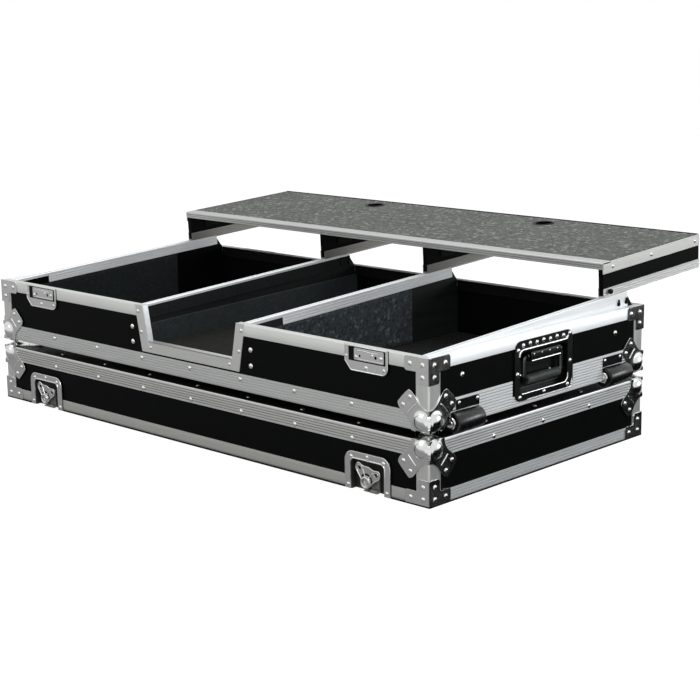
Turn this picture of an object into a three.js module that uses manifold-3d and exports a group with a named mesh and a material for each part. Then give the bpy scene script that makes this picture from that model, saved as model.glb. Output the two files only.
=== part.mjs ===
// A DJ coffin case: a base tray for two turntables and a mixer, standing on its own lid,
// with a sliding laptop shelf drawn back on four sloping rails.
// Lengths are millimetres, +X is right, +Y is the back and +Z is up.
// Each sub-assembly is drawn with its front face at y = 0 and its lowest face at z = 0.

import * as THREE from 'three';
import { mergeVertices } from 'three/addons/utils/BufferGeometryUtils.js';
import Module from 'manifold-3d';

const wasm = await Module();
wasm.setup();

// Overall case, measured over the aluminium
const caseWidth = 1080;
const caseDepth = 556;
const lidHeight = 102.5;
const baseHeight = 113.5;

// Stock and clearances
const boardThick = 9;
const bandThick = 2;
const innerLegThick = 1.5;
const plateThick = 1.2;
const carpetThick = 3;
const seatGap = 0.3;
const overrun = 6;

// Aluminium bands and posts
const lidTopBand = 27;
const lidRimBand = 21;
const baseRimBand = 20;
const baseFrontBand = 28.5;
const baseSideBand = 43;
const underLeg = 27;
const postLeg = 26;
const rimInnerLeg = 12;

// Ball corners and corner braces
const ballProud = 7;
const ballInset = 14.5;
const flangeThick = 1.5;
const flangeReach = 61;
const flangeEdge = 34;
const braceLength = 48;
const braceHeight = 42;
const braceWidth = 23;

// Front cut-out that bares the mixer's face
const cutTopHalf = 120;
const cutBottomHalf = 108;
const sillHeight = 51.5;
const cutTrimLeg = 21;
const sillTrimLeg = 20;
const cutTrimDepth = 20;

// Bays inside the base
const bayHalf = 127;
const mixerFloor = 43.5;
const mixerLinerHeight = 38;
const mixerLinerThick = 5;

// Sloping rails and the shelf that glides on them
const railSlopeDeg = 2.9;
const railDrop = 1;
const railWeb = 6;
const railOuterLeg = 20;
const railInnerLeg = 13;
const railRearInset = 28;
const railNotch = 78;
const railNotchStrip = 3;
const railSpacing = 4;
const grooveTopHalf = 2;
const grooveBottomHalf = 3.1;
const grooveDepth = 3.6;
const shelfHeld = 96;
const shelfDepth = 291.5;
const shelfHeight = 60;
const shelfSideTrim = 19.7;
const shelfFrontTop = 20;
const shelfFrontLeg = 12;
const runnerLeg = 15.5;
const runnerWeb = 2.8;
const cableHoleRadius = 16;
const cableHoleInset = 47;
const cableHolePlace = 217;
const grommetLip = 2.5;
const grommetWall = 1.5;
const stopScrewRadius = 3;
const stopScrewHeight = 3;
const stopScrewNear = 5;
const stopScrewFar = 27;

// Twist latches and the catch plates they reach
const latchInset = 126;
const latchWidth = 96;
const latchHeight = 62;
const latchOpenHalf = 34;
const latchOpenHeight = 50;
const latchPanWall = 1.5;
const latchChamfer = 16;
const spindleHeight = 17;
const spindleRadius = 4;
const bossRadius = 8.5;
const bossProud = 8;
const wingGap = 1;
const wingThick = 2;
const wingReach = 27;
const wingHalf = 26;
const wingHoleRadius = 3.6;
const wingTiltDeg = 11;
const hookHalf = 14;
const hookOffset = 6;
const hookThick = 3;
const hookBack = 7;
const hookTravel = 10;
const hookClear = 1;
const hookLipThick = 3.5;
const hookLipProud = 2;
const catchWidth = 90;
const catchHeight = 40;
const catchChamfer = 13;
const catchBarHeight = 14;
const catchBarProud = 2;
const catchSlot = 14;
const catchSlotMargin = 7;
const catchBarLow = 24;

// Recessed carrying handles, one on each end
const handleLength = 150;
const handleHeight = 90;
const handleCentre = 52;
const handleOpenLength = 124;
const handleOpenHeight = 66;
const handleRound = 14;
const handlePanDepth = 11.5;
const handlePanWall = 1.5;
const bailRadius = 3.5;
const bailHalf = 48;
const bailSink = 3;
const hingeRise = 24;
const bailDrop = 37;
const gripRadius = 6.5;
const gripLength = 84;
const lugThick = 3;
const lugHalf = 6;
const lugPlace = 41;
const springOuter = 5.6;
const springLength = 64;
const coverHalf = 7.8;
const coverLength = 76;

// Tilt rollers at the lower right edge
const rollerRadius = 17;
const rollerLength = 62;
const rollerOut = 1;
const rollerUp = 5.5;
const rollerStart = 51.5;
const rollerGap = 1;
const axleRadius = 3;
const hubRadius = 9;
const hubLip = 1;
const earRadius = 11.5;
const capRadius = 9.5;
const capThick = 2;
const housingThick = 1.5;
const housingPlate = 14;

// Fasteners
const rivetRadius = 3.2;
const rivetTopRadius = 1.9;
const rivetHeight = 1.5;
const rivetSink = 0.5;
const smallRivetShare = 0.7;
const rivetPitch = 127;
const sideRivetPitch = 125;
const bandRivetInset = 21;
const topRivetInset = 18;
const baseRivetHeight = 19.5;
const panelScrewInset = 152;
const panelScrewLow = 45;
const panelScrewHigh = 72;
const sideScrewInset = 79;
const sideScrewHeight = 76;
const trimRivetLow = 66;
const trimRivetHigh = 102;
const trimRivetInset = 6;

// Round shapes
const ballSides = 16;
const ballRings = 10;
const smallSides = 8;
const rodSides = 10;
const rollerSides = 20;
const rivetSides = 5;

// Sizes that follow from those above
const right = caseWidth / 2;
const back = caseDepth;
const skin = bandThick + boardThick;
const rimDepth = skin + innerLegThick;
const ballRadius = ballInset + ballProud;
const baseLift = lidHeight + 2 * ballProud + seatGap;
const slope = THREE.MathUtils.degToRad(railSlopeDeg);
const rimTop = baseHeight;
const latchPanDepth = skin - latchPanWall - seatGap;
const railHalf = boardThick / 2 + innerLegThick;
const latchPlace = right - latchInset;
const shelfSetback = back - shelfHeld;
const sideRailPlace = right - skin - railSpacing - boardThick / 2;
const bayRailPlace = bayHalf + boardThick / 2;
const railPlaces = [-sideRailPlace, -bayRailPlace, bayRailPlace, sideRailPlace];
const shelfHalf = sideRailPlace + boardThick / 2;
const shelfBoardTop = shelfHeight - carpetThick;
const shelfBoardLow = shelfBoardTop - boardThick;
const trimRun = (cutTopHalf - cutBottomHalf) / (rimTop - sillHeight);
const rollerX = right + rollerOut;
const pocketTop = rollerUp + rollerRadius + rollerGap + housingThick;
const pocketInner = rollerX - rollerRadius - rollerGap - housingThick;

// Outline of a ball corner's flange, as shares of its reach along both edges
const flangeShares = [[0.59, 0.16], [0.69, 0.3], [0.85, 0.42], [0.96, 0.52], [1, 0.61], [0.98, 0.69],
  [0.69, 0.98], [0.61, 1], [0.52, 0.96], [0.42, 0.85], [0.3, 0.69], [0.16, 0.59]];

// Outline of half a latch wing from its boss upward, as shares of its half width and reach
const wingShares = [[0.3, -0.2], [0.52, 0.1], [0.98, 0.55], [1, 0.8], [0.86, 0.98], [0.45, 0.9], [0, 0.96]];
const wingHoleShares = [0.68, 0.68];

// Places of a flange's rivets and of the shelf trim's rivets
const flangeRivetShares = [0.6, 0.83];
const shelfRivetShares = [0.09, 0.48, 0.95];


// Materials

function paint(color, roughness, metalness) {
  return new THREE.MeshStandardMaterial({ color, roughness, metalness });
}

const looks = {
  laminate: paint(0x0d0e0d, 0.35, 0),
  board: paint(0x15150f, 0.7, 0),
  aluminium: paint(0xb9bab6, 0.35, 1),
  chrome: paint(0xc8c9c8, 0.12, 1),
  carpet: paint(0x23282a, 0.95, 0),
  shelfCarpet: paint(0x6a6c68, 0.95, 0),
  rubber: paint(0x17181a, 0.6, 0),
  blackPlastic: paint(0x101010, 0.5, 0),
};


// Shape helpers

// Puts the lower and the upper end of a body across an axis exactly on their planes
function setEnds(body, axis, low, high) {
  const points = body.attributes.position;
  const place = { x: 0, y: 1, z: 2 }[axis];
  for (let i = 0; i < points.count; i += 1) {
    points.setComponent(i, place, points.getComponent(i, place) > 0 ? high : low);
  }
  return body;
}

// A box between two corners
function block(x0, x1, y0, y1, z0, z1) {
  const box = new THREE.BoxGeometry(1, 1, 1);
  setEnds(box, 'x', Math.min(x0, x1), Math.max(x0, x1));
  setEnds(box, 'y', Math.min(y0, y1), Math.max(y0, y1));
  return setEnds(box, 'z', Math.min(z0, z1), Math.max(z0, z1));
}

const prismFrames = {
  x: [[0, 1, 0], [0, 0, 1], [1, 0, 0]],
  y: [[1, 0, 0], [0, 0, 1], [0, -1, 0]],
  z: [[1, 0, 0], [0, 1, 0], [0, 0, 1]],
};

// Extrudes an outline along an axis. Its points are (y, z) for x, (x, z) for y and (x, y) for z.
function prism(axis, points, from, to, holes = []) {
  const shape = new THREE.Shape(points.map(([a, b]) => new THREE.Vector2(a, b)));
  for (const hole of holes) {
    shape.holes.push(new THREE.Path(hole.map(([a, b]) => new THREE.Vector2(a, b))));
  }
  const low = Math.min(from, to);
  const high = Math.max(from, to);
  const body = new THREE.ExtrudeGeometry(shape, { depth: 1, bevelEnabled: false });
  const [near, far] = axis === 'y' ? [-high, -low] : [low, high];
  const [xAxis, yAxis, zAxis] = prismFrames[axis].map((v) => new THREE.Vector3(...v));
  const frame = new THREE.Matrix4().makeBasis(xAxis, yAxis, zAxis);
  return setEnds(body, 'z', near, far).applyMatrix4(frame);
}

// A cylinder along an axis, centred on the two other coordinates
function rod(axis, radius, centre, from, to, sides) {
  const body = new THREE.CylinderGeometry(radius, radius, Math.abs(to - from), sides);
  const middle = (from + to) / 2;
  if (axis === 'x') {
    return body.rotateZ(Math.PI / 2).translate(middle, centre[0], centre[1]);
  }
  if (axis === 'y') {
    return body.translate(centre[0], middle, centre[1]);
  }
  return body.rotateX(Math.PI / 2).translate(centre[0], centre[1], middle);
}

// A ring with its axis along Y through (x, z)
function tube(inner, outer, centre, from, to, sides) {
  const profile = [[inner, from], [outer, from], [outer, to], [inner, to], [inner, from]];
  return turned(profile, sides).translate(centre[0], 0, centre[1]);
}

// Turns a closed profile of (radius, height) about Y
function turned(profile, sides) {
  return new THREE.LatheGeometry(profile.map(([r, h]) => new THREE.Vector2(r, h)), sides);
}

function bare(geometry) {
  const copy = geometry.clone();
  copy.deleteAttribute('normal');
  copy.deleteAttribute('uv');
  return mergeVertices(copy);
}

function toSolid(geometry) {
  const merged = bare(geometry);
  return new wasm.Manifold(new wasm.Mesh({
    numProp: 3,
    vertProperties: new Float32Array(merged.attributes.position.array),
    triVerts: new Uint32Array(merged.index.array),
  }));
}

function toGeometry(solid) {
  const mesh = solid.getMesh();
  const geometry = new THREE.BufferGeometry();
  geometry.setAttribute('position', new THREE.BufferAttribute(mesh.vertProperties, 3));
  geometry.setIndex(new THREE.BufferAttribute(mesh.triVerts, 1));
  return geometry;
}

function fuse(...pieces) {
  return toGeometry(pieces.map(toSolid).reduce((sum, piece) => sum.add(piece)));
}

function cut(piece, ...cutters) {
  return toGeometry(cutters.map(toSolid).reduce((rest, cutter) => rest.subtract(cutter), toSolid(piece)));
}

function common(piece, other) {
  return toGeometry(toSolid(piece).intersect(toSolid(other)));
}

// Scales by a sign on each axis and keeps the faces pointing out
function mirrored(geometry, sx, sy, sz) {
  const flat = bare(geometry).toNonIndexed();
  flat.scale(sx, sy, sz);
  if (sx * sy * sz < 0) {
    const place = flat.attributes.position;
    const [first, second] = [new THREE.Vector3(), new THREE.Vector3()];
    for (let i = 0; i < place.count; i += 3) {
      first.fromBufferAttribute(place, i + 1);
      second.fromBufferAttribute(place, i + 2);
      place.setXYZ(i + 1, second.x, second.y, second.z);
      place.setXYZ(i + 2, first.x, first.y, first.z);
    }
  }
  return flat;
}

// Puts what is drawn about a corner at the origin, with the case on its positive side, at a corner
function atCorner(geometry, sideX, sideY, z, up) {
  const placed = mirrored(geometry, -sideX, -sideY, up);
  return placed.translate(sideX * right, sideY > 0 ? back : 0, z);
}

const corners = [['front_left', -1, -1], ['front_right', 1, -1], ['rear_right', 1, 1], ['rear_left', -1, 1]];

function atFourCorners(geometry, z, up) {
  return corners.map(([, sideX, sideY]) => atCorner(geometry, sideX, sideY, z, up));
}

// Puts what is drawn on the front face on the front (-1) or the rear (1) face
function onFace(geometry, x, sideY) {
  const placed = mirrored(geometry, 1, -sideY, 1);
  return placed.translate(x, sideY > 0 ? back : 0, 0);
}

// Puts what is drawn on the right end on the right (1) or the left (-1) end
function onEnd(geometry, sideX) {
  return mirrored(geometry, sideX, 1, 1);
}

function add(group, name, geometry, look) {
  const mesh = new THREE.Mesh(geometry, looks[look].clone());
  mesh.name = name;
  group.add(mesh);
  return mesh;
}

function circle(radius, centre, sides) {
  const points = [];
  for (let i = 0; i < sides; i += 1) {
    const angle = (i + 0.5) * 2 * Math.PI / sides;
    points.push([centre[0] + radius * Math.cos(angle), centre[1] + radius * Math.sin(angle)]);
  }
  return points;
}

// A rectangle about a centre with corners cut off at 45 degrees
function chamfered(halfA, halfB, chamfer, centre = [0, 0]) {
  const outline = [[halfA - chamfer, -halfB], [halfA, -halfB + chamfer], [halfA, halfB - chamfer],
    [halfA - chamfer, halfB], [-halfA + chamfer, halfB], [-halfA, halfB - chamfer],
    [-halfA, -halfB + chamfer], [-halfA + chamfer, -halfB]];
  return outline.map(([a, b]) => [a + centre[0], b + centre[1]]);
}


// Fasteners: a domed head that sits on a face, pointing along one axis

function rivet(axis, sign, x, y, z, share = 1) {
  const height = rivetHeight * share;
  const head = new THREE.CylinderGeometry(rivetTopRadius * share, rivetRadius * share, height + rivetSink,
    rivetSides);
  head.translate(0, (height - rivetSink) / 2, 0);
  if (axis === 'x') {
    head.rotateZ(-sign * Math.PI / 2);
  }
  if (axis === 'y' && sign < 0) {
    head.rotateX(Math.PI);
  }
  if (axis === 'z') {
    head.rotateX(sign * Math.PI / 2);
  }
  return head.translate(x, y, z);
}

// Places along a length, centred, a pitch apart and clear of both ends
function spaced(pitch, halfLength, margin) {
  const steps = Math.floor((halfLength - margin) / pitch);
  const places = [];
  for (let i = -steps; i <= steps; i += 1) {
    places.push(i * pitch);
  }
  return places;
}


// Ball corner: a ball that fills the corner, with a flange on each of the three faces

function flangeOutline() {
  const lobe = flangeShares.map(([a, b]) => [a * flangeReach, b * flangeReach]);
  return [[-flangeThick, -flangeThick], [flangeEdge, -flangeThick], [flangeEdge, 0], ...lobe,
    [0, flangeEdge], [-flangeThick, flangeEdge]];
}

function ballCorner() {
  const ball = new THREE.SphereGeometry(ballRadius, ballSides, ballRings);
  ball.rotateX(Math.PI / 2).translate(ballInset, ballInset, ballInset);
  const far = 2 * ballRadius;
  const outside = cut(ball, block(0, far, 0, far, 0, far));
  const coreSide = skin - seatGap;
  const core = block(-flangeThick, coreSide, -flangeThick, coreSide, -flangeThick, coreSide);
  const flanges = ['x', 'y', 'z'].map((axis) => prism(axis, flangeOutline(), -flangeThick, 0));
  return fuse(outside, core, ...flanges, ...flangeRivets());
}

// Two rivets on each upright flange
function flangeRivets() {
  const [near, far] = flangeRivetShares.map((share) => share * flangeReach);
  return [[near, far], [far, near]].flatMap(([a, b]) => [
    rivet('x', -1, -flangeThick, a, b),
    rivet('y', -1, a, -flangeThick, b),
  ]);
}

function cornerBrace() {
  const t = plateThick;
  const outline = [[-t, 0], [braceLength, 0], [braceLength, braceWidth], [braceWidth, braceWidth],
    [braceWidth, braceHeight], [-t, braceHeight]];
  const middle = braceWidth / 2;
  const heads = [[middle, middle], [braceLength - middle, middle], [middle, braceHeight - middle]];
  return fuse(
    prism('x', outline, -t, 0),
    prism('y', outline, -t, 0),
    ...heads.flatMap(([a, b]) => [rivet('x', -1, -t, a, b), rivet('y', -1, a, -t, b)]),
  );
}

// Clears each ball's core out of a board or a band
function cornerRelief(geometry, z, up) {
  const cube = block(-overrun, skin, -overrun, skin, -overrun, skin);
  return cut(geometry, ...atFourCorners(cube, z, up));
}


// Bands: bent or extruded aluminium, mitred and riveted into one frame round the case. Each is drawn
// with its outer flat at z = 0 and its side legs rising.

// The case's plan, drawn in by an inset
function plan(inset, from, to) {
  return block(inset - right, right - inset, inset, back - inset, from, to);
}

function angleFrame(sideLeg, flatLeg) {
  const past = sideLeg + overrun;
  return cut(plan(0, 0, sideLeg), plan(bandThick, bandThick, past), plan(flatLeg, -overrun, past));
}

// A channel that wraps the rim of the boards
function rimFrame(sideLeg) {
  const past = sideLeg + overrun;
  const skirt = cut(plan(0, 0, sideLeg), plan(bandThick, bandThick, past));
  return cut(fuse(skirt, plan(skin, 0, rimInnerLeg)), plan(rimDepth, -overrun, past));
}

function cornerPosts(from, to) {
  const t = bandThick;
  const outline = [[0, 0], [postLeg, 0], [postLeg, t], [t, t], [t, postLeg], [0, postLeg]];
  return atFourCorners(prism('z', outline, from, to), 0, 1);
}

function standing(geometry, z, up) {
  return mirrored(geometry, 1, 1, up).translate(0, 0, z);
}


// Lid, standing rim down

function latchPocket() {
  const half = latchOpenHalf + latchPanWall + seatGap;
  return block(-half, half, -overrun, skin, -overrun, latchOpenHeight + latchPanWall + seatGap);
}

const latchSites = [['front_left', -latchPlace, -1], ['front_right', latchPlace, -1],
  ['rear_left', -latchPlace, 1], ['rear_right', latchPlace, 1]];

function latchDish() {
  const t = latchPanWall;
  const pan = cut(
    block(-latchOpenHalf - t, latchOpenHalf + t, 0, latchPanDepth + t, 0, latchOpenHeight + t),
    block(-latchOpenHalf, latchOpenHalf, -overrun, latchPanDepth, -overrun, latchOpenHeight),
  );
  const half = latchWidth / 2;
  const arch = [[-half, 0], [-latchOpenHalf, 0], [-latchOpenHalf, latchOpenHeight],
    [latchOpenHalf, latchOpenHeight], [latchOpenHalf, 0], [half, 0], [half, latchHeight - latchChamfer],
    [half - latchChamfer, latchHeight], [latchChamfer - half, latchHeight],
    [-half, latchHeight - latchChamfer]];
  const sideX = (latchOpenHalf + half) / 2;
  const topZ = (latchOpenHeight + latchHeight) / 2;
  const low = latchHeight - topZ;
  const heads = [[-sideX, low], [sideX, low], [latchChamfer - half, topZ - low / 2], [0, topZ],
    [half - latchChamfer, topZ - low / 2]];
  return fuse(pan, prism('y', arch, -flangeThick, 0),
    ...heads.map(([x, z]) => rivet('y', -1, x, -flangeThick, z, smallRivetShare)));
}

function latchWing() {
  const rightSide = wingShares.map(([a, b]) => [a * wingHalf, b * wingReach]);
  const leftSide = rightSide.slice(0, -1).reverse().map(([a, b]) => [-a, b]);
  const [holeA, holeB] = wingHoleShares;
  const holes = [-1, 1].map((side) => circle(
    wingHoleRadius,
    [side * holeA * wingHalf, holeB * wingReach],
    smallSides,
  ));
  const wingBack = -flangeThick - wingGap;
  const plate = prism('y', [...rightSide, ...leftSide], wingBack - wingThick, wingBack, holes);
  const boss = rod('y', bossRadius, [0, 0], -bossProud, wingBack, 2 * smallSides);
  const spindle = rod('y', spindleRadius, [0, 0], wingBack - wingThick, latchPanDepth - seatGap, smallSides);
  const wing = fuse(plate, boss, spindle);
  return wing.rotateY(THREE.MathUtils.degToRad(wingTiltDeg)).translate(0, 0, spindleHeight);
}

function latchHook() {
  const slotHalf = spindleRadius + seatGap;
  const top = spindleHeight + hookTravel + 2 * slotHalf;
  const front = hookBack - hookThick;
  const [left, side] = [hookOffset - hookHalf, hookOffset + hookHalf];
  const plate = block(left, side, front, hookBack, hookClear, top);
  const lip = block(left, side, -hookLipProud, hookBack, hookClear, hookClear + hookLipThick);
  const slotLow = spindleHeight - slotHalf - hookTravel;
  const slotTop = spindleHeight + slotHalf;
  const slot = block(-slotHalf, slotHalf, front - overrun, hookBack + overrun, slotLow, slotTop);
  return cut(fuse(plate, lip), slot);
}

function endHeads(z, flatZ) {
  const places = spaced(sideRivetPitch, back / 2, flangeReach + sideRivetPitch / 2);
  return places.flatMap((y) => [-1, 1].flatMap((side) => [
    rivet('x', side, side * right, back / 2 + y, z),
    rivet('z', 1, side * (right - topRivetInset), back / 2 + y, flatZ),
  ]));
}

function faceHeads(z) {
  const places = spaced(rivetPitch, right, flangeReach + rivetPitch / 2);
  return places.flatMap((x) => [rivet('y', -1, x, 0, z), rivet('y', 1, x, back, z)]);
}

function topHeads() {
  const places = spaced(rivetPitch, right, flangeReach + rivetPitch / 2);
  return places.flatMap((x) => [topRivetInset, back - topRivetInset].map((y) => (
    rivet('z', 1, x, y, lidHeight)
  )));
}

function buildLid() {
  const lid = new THREE.Group();
  const b = right - bandThick;
  const y0 = bandThick;
  const y1 = back - bandThick;
  const top = lidHeight - bandThick;
  const boardLow = top - boardThick;
  const pockets = latchSites.map(([, x, side]) => onFace(latchPocket(), x, side));

  add(lid, 'lid_top_board', cornerRelief(block(-b, b, y0, y1, boardLow, top), lidHeight, -1), 'laminate');
  add(lid, 'lid_front_board', cut(block(-b, b, y0, skin, bandThick, boardLow), ...pockets), 'laminate');
  add(lid, 'lid_rear_board', cut(block(-b, b, back - skin, y1, bandThick, boardLow), ...pockets), 'laminate');
  for (const [name, side] of [['left', -1], ['right', 1]]) {
    const wall = block(side * b, side * (right - skin), skin, back - skin, bandThick, boardLow);
    add(lid, `lid_${name}_board`, wall, 'laminate');
  }

  const bandZ = lidHeight - bandRivetInset;
  const topBand = fuse(standing(angleFrame(lidTopBand, lidTopBand), lidHeight, -1),
    ...cornerPosts(lidRimBand, lidHeight), ...faceHeads(bandZ), ...topHeads(), ...endHeads(bandZ, lidHeight));
  add(lid, 'lid_top_frame', cornerRelief(topBand, lidHeight, -1), 'aluminium');
  const rim = fuse(cut(rimFrame(lidRimBand), ...pockets), ...atFourCorners(cornerBrace(), 0, 1));
  add(lid, 'lid_rim_frame', rim, 'aluminium');
  for (const [name, sideX, sideY] of corners) {
    add(lid, `lid_ball_corner_${name}`, atCorner(ballCorner(), sideX, sideY, lidHeight, -1), 'chrome');
  }
  for (const [name, x, side] of latchSites) {
    add(lid, `latch_dish_${name}`, onFace(latchDish(), x, side), 'chrome');
    add(lid, `latch_wing_${name}`, onFace(latchWing(), x, side), 'chrome');
    add(lid, `latch_hook_${name}`, onFace(latchHook(), x, side), 'chrome');
  }
  return lid;
}


// Base tray

// Height of the rails' top face over the base's underside at a distance from the front
function railTop(y) {
  return rimTop - railDrop + y * Math.tan(slope);
}

// Half the width of the front cut-out at a height
function cutEdge(z) {
  return cutBottomHalf + (z - sillHeight) * trimRun;
}

function rollerPockets() {
  const margin = rollerGap + housingThick + capThick + seatGap;
  const [y0, y1] = [rollerStart - margin, rollerStart + rollerLength + margin];
  const pocket = block(pocketInner - seatGap, right + overrun, y0, y1, -overrun, pocketTop + seatGap);
  return [pocket, toRear(pocket)];
}

function toRear(geometry) {
  return mirrored(geometry, 1, -1, 1).translate(0, back, 0);
}

function handlePocket() {
  const margin = handlePanWall + seatGap;
  const halfLength = handleOpenLength / 2 + margin;
  const halfHeight = handleOpenHeight / 2 + margin;
  return block(right - handlePanDepth - margin, right + overrun, back / 2 - halfLength, back / 2 + halfLength,
    handleCentre - halfHeight, handleCentre + halfHeight);
}

// Outline of the front cut-out, grown by a margin
function frontCutout(margin) {
  const low = sillHeight - margin;
  const high = rimTop + overrun;
  return [[-cutEdge(low) - margin, low], [cutEdge(low) + margin, low], [cutEdge(high) + margin, high],
    [-cutEdge(high) - margin, high]];
}

// A board under a rail: its top follows the rail and falls to the rim behind the rail's end, and its
// ends pass under the rim's inner legs
function railBoard(x0, x1, under) {
  const drop = under / Math.cos(slope);
  const [front, end, last] = [rimDepth, back - railRearInset, back - skin];
  const tail = back - rimDepth - seatGap;
  const ledge = rimTop - rimInnerLeg;
  const top = (y) => Math.max(railTop(y) - drop, skin + boardThick);
  const foot = Math.min(rimTop, top(end));
  const outline = [[skin, skin], [last, skin], [last, ledge], [tail, ledge], [tail, foot], [end, top(end)]];
  if (top(front) > ledge) {
    outline.push([front, top(front)], [front, ledge], [skin, ledge]);
  } else {
    outline.push([skin, top(skin)]);
  }
  return prism('x', outline, x0, x1);
}

// An end wall with the board that carries its rail, and the packing between them
function endWall(side) {
  const outer = right - skin;
  const inner = outer - railSpacing - boardThick;
  const wall = block(right - bandThick, outer, skin, back - skin, skin, rimTop - bandThick);
  const carrier = railBoard(inner, inner + boardThick, railWeb + seatGap);
  const packingTop = railTop(skin) - (railWeb + railOuterLeg + seatGap) / Math.cos(slope);
  const packing = block(inner, outer, skin, back - skin, skin, packingTop);
  const heads = [sideScrewInset, back - sideScrewInset].map((y) => (
    rivet('x', 1, right - bandThick, y, sideScrewHeight)
  ));
  const built = cut(fuse(wall, carrier, packing, ...heads), handlePocket());
  return onEnd(built, side);
}

// Carpet mats glued to the floor of both wells
function wellMats() {
  const bay = bayHalf + boardThick + seatGap;
  const end = right - skin - railSpacing - boardThick - seatGap;
  const [y0, y1] = [skin + seatGap, back - skin - seatGap];
  return [-1, 1].map((side) => block(side * bay, side * end, y0, y1, skin, skin + carpetThick));
}

function cutoutTrims() {
  const t = bandThick;
  const foot = sillHeight - sillTrimLeg;
  const sideTrims = [-1, 1].flatMap((side) => {
    const face = [[cutEdge(foot), foot], [cutEdge(foot) + cutTrimLeg, foot],
      [cutEdge(rimTop) + cutTrimLeg, rimTop], [cutEdge(rimTop), rimTop]];
    const jamb = [[cutEdge(sillHeight), sillHeight], [cutEdge(sillHeight) + t, sillHeight],
      [cutEdge(rimTop) + t, rimTop], [cutEdge(rimTop), rimTop]];
    const flip = (points) => points.map(([a, b]) => [side * a, b]);
    const heads = [trimRivetLow, trimRivetHigh].map((z) => (
      rivet('y', -1, side * (cutEdge(z) + cutTrimLeg - trimRivetInset), 0, z, smallRivetShare)
    ));
    return [prism('y', flip(face), 0, t), prism('y', flip(jamb), 0, cutTrimDepth), ...heads];
  });
  const sillFace = [[-cutEdge(foot), foot], [cutEdge(foot), foot], [cutEdge(sillHeight), sillHeight],
    [-cutEdge(sillHeight), sillHeight]];
  const [low, high] = [cutEdge(sillHeight - t) + t, cutEdge(sillHeight) + t];
  const sillTop = [[-low, sillHeight - t], [low, sillHeight - t], [high, sillHeight], [-high, sillHeight]];
  return [...sideTrims, prism('y', sillFace, 0, t), prism('y', sillTop, 0, cutTrimDepth)];
}

function catchPlate() {
  const half = catchWidth / 2;
  const low = rimTop - catchHeight;
  const outline = [[-half, rimTop], [-half, low + catchChamfer], [catchChamfer - half, low],
    [half - catchChamfer, low], [half, low + catchChamfer], [half, rimTop]];
  const plate = prism('y', outline, -flangeThick, 0);
  const backing = common(
    prism('y', outline, 0, bandThick),
    block(-half, half, -overrun, overrun, low, rimTop - baseRimBand),
  );
  const barZ = low + catchBarLow;
  const margin = catchSlotMargin;
  const slot = block(margin - half, half - margin, -overrun, 0, barZ, barZ + catchBarHeight);
  const bar = block(margin + catchSlot - half, half - margin, -flangeThick - catchBarProud, 0, barZ,
    barZ + catchBarHeight);
  return fuse(cut(fuse(plate, backing), slot), bar);
}

function handleDish() {
  const t = handlePanWall;
  const halfLength = handleOpenLength / 2;
  const halfHeight = handleOpenHeight / 2;
  const middle = back / 2;
  const floor = right - handlePanDepth;
  const hingeZ = handleCentre + hingeRise;
  const outer = block(floor - t, right, middle - halfLength - t, middle + halfLength + t,
    handleCentre - halfHeight - t, handleCentre + halfHeight + t);
  const inner = block(floor, right + overrun, middle - halfLength, middle + halfLength,
    handleCentre - halfHeight, handleCentre + halfHeight);
  const rim = prism('x', chamfered(handleLength / 2, handleHeight / 2, handleRound, [middle, handleCentre]),
    right, right + plateThick);
  const bore = rod('y', bailRadius + seatGap, [right - bailSink, hingeZ], middle - bailHalf,
    middle + bailHalf, rodSides);
  const lugs = [-1, 1].map((end) => block(floor, right + bailRadius, middle + end * lugPlace,
    middle + end * (lugPlace + lugThick), hingeZ - lugHalf, hingeZ + lugHalf));
  const cover = handleCover();
  const heads = handleRivetPlaces().map(([y, z]) => (
    rivet('x', 1, right + plateThick, middle + y, handleCentre + z, smallRivetShare)
  ));
  return cut(fuse(cut(fuse(outer, rim), inner), ...lugs, cover, ...heads), bore);
}

function handleRivetPlaces() {
  const edgeZ = (handleOpenHeight + handleHeight) / 4;
  const edgeY = (handleOpenLength + handleLength) / 4;
  const far = handleLength / 2 - handleRound;
  const near = far / 3;
  return [[-far, edgeZ], [-near, edgeZ], [near, edgeZ], [far, edgeZ], [-edgeY, 0], [edgeY, 0],
    [-far, -edgeZ], [0, -edgeZ], [far, -edgeZ]];
}

// A pressed cover that hides the spring on the hinge bar
function handleCover() {
  const x = right - bailSink;
  const z = handleCentre + hingeRise;
  const floor = right - handlePanDepth;
  const t = plateThick;
  const front = x + coverHalf;
  const outline = [[floor, z + coverHalf], [front, z + coverHalf], [front, z - coverHalf],
    [floor, z - coverHalf], [floor, z - coverHalf + t], [front - t, z - coverHalf + t],
    [front - t, z + coverHalf - t], [floor, z + coverHalf - t]];
  return prism('y', outline, back / 2 - coverLength / 2, back / 2 + coverLength / 2);
}

function handleBail() {
  const x = right - bailSink;
  const hingeZ = handleCentre + hingeRise;
  const gripZ = hingeZ - bailDrop;
  const y0 = back / 2 - bailHalf;
  const y1 = back / 2 + bailHalf;
  const ends = [y0 - bailRadius, y1 + bailRadius];
  return fuse(
    rod('y', bailRadius, [x, hingeZ], ends[0], ends[1], rodSides),
    rod('y', bailRadius, [x, gripZ], ends[0], ends[1], rodSides),
    rod('z', bailRadius, [x, y0], gripZ, hingeZ, rodSides),
    rod('z', bailRadius, [x, y1], gripZ, hingeZ, rodSides),
  );
}

function handleGrip() {
  const gripZ = handleCentre + hingeRise - bailDrop;
  const [y0, y1] = [(back - gripLength) / 2, (back + gripLength) / 2];
  return tube(bailRadius + seatGap, gripRadius, [right - bailSink, gripZ], y0, y1, 2 * smallSides);
}

function handleSpring() {
  const centre = [right - bailSink, handleCentre + hingeRise];
  const [y0, y1] = [(back - springLength) / 2, (back + springLength) / 2];
  return tube(bailRadius + seatGap, springOuter, centre, y0, y1, 2 * smallSides);
}

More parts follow.
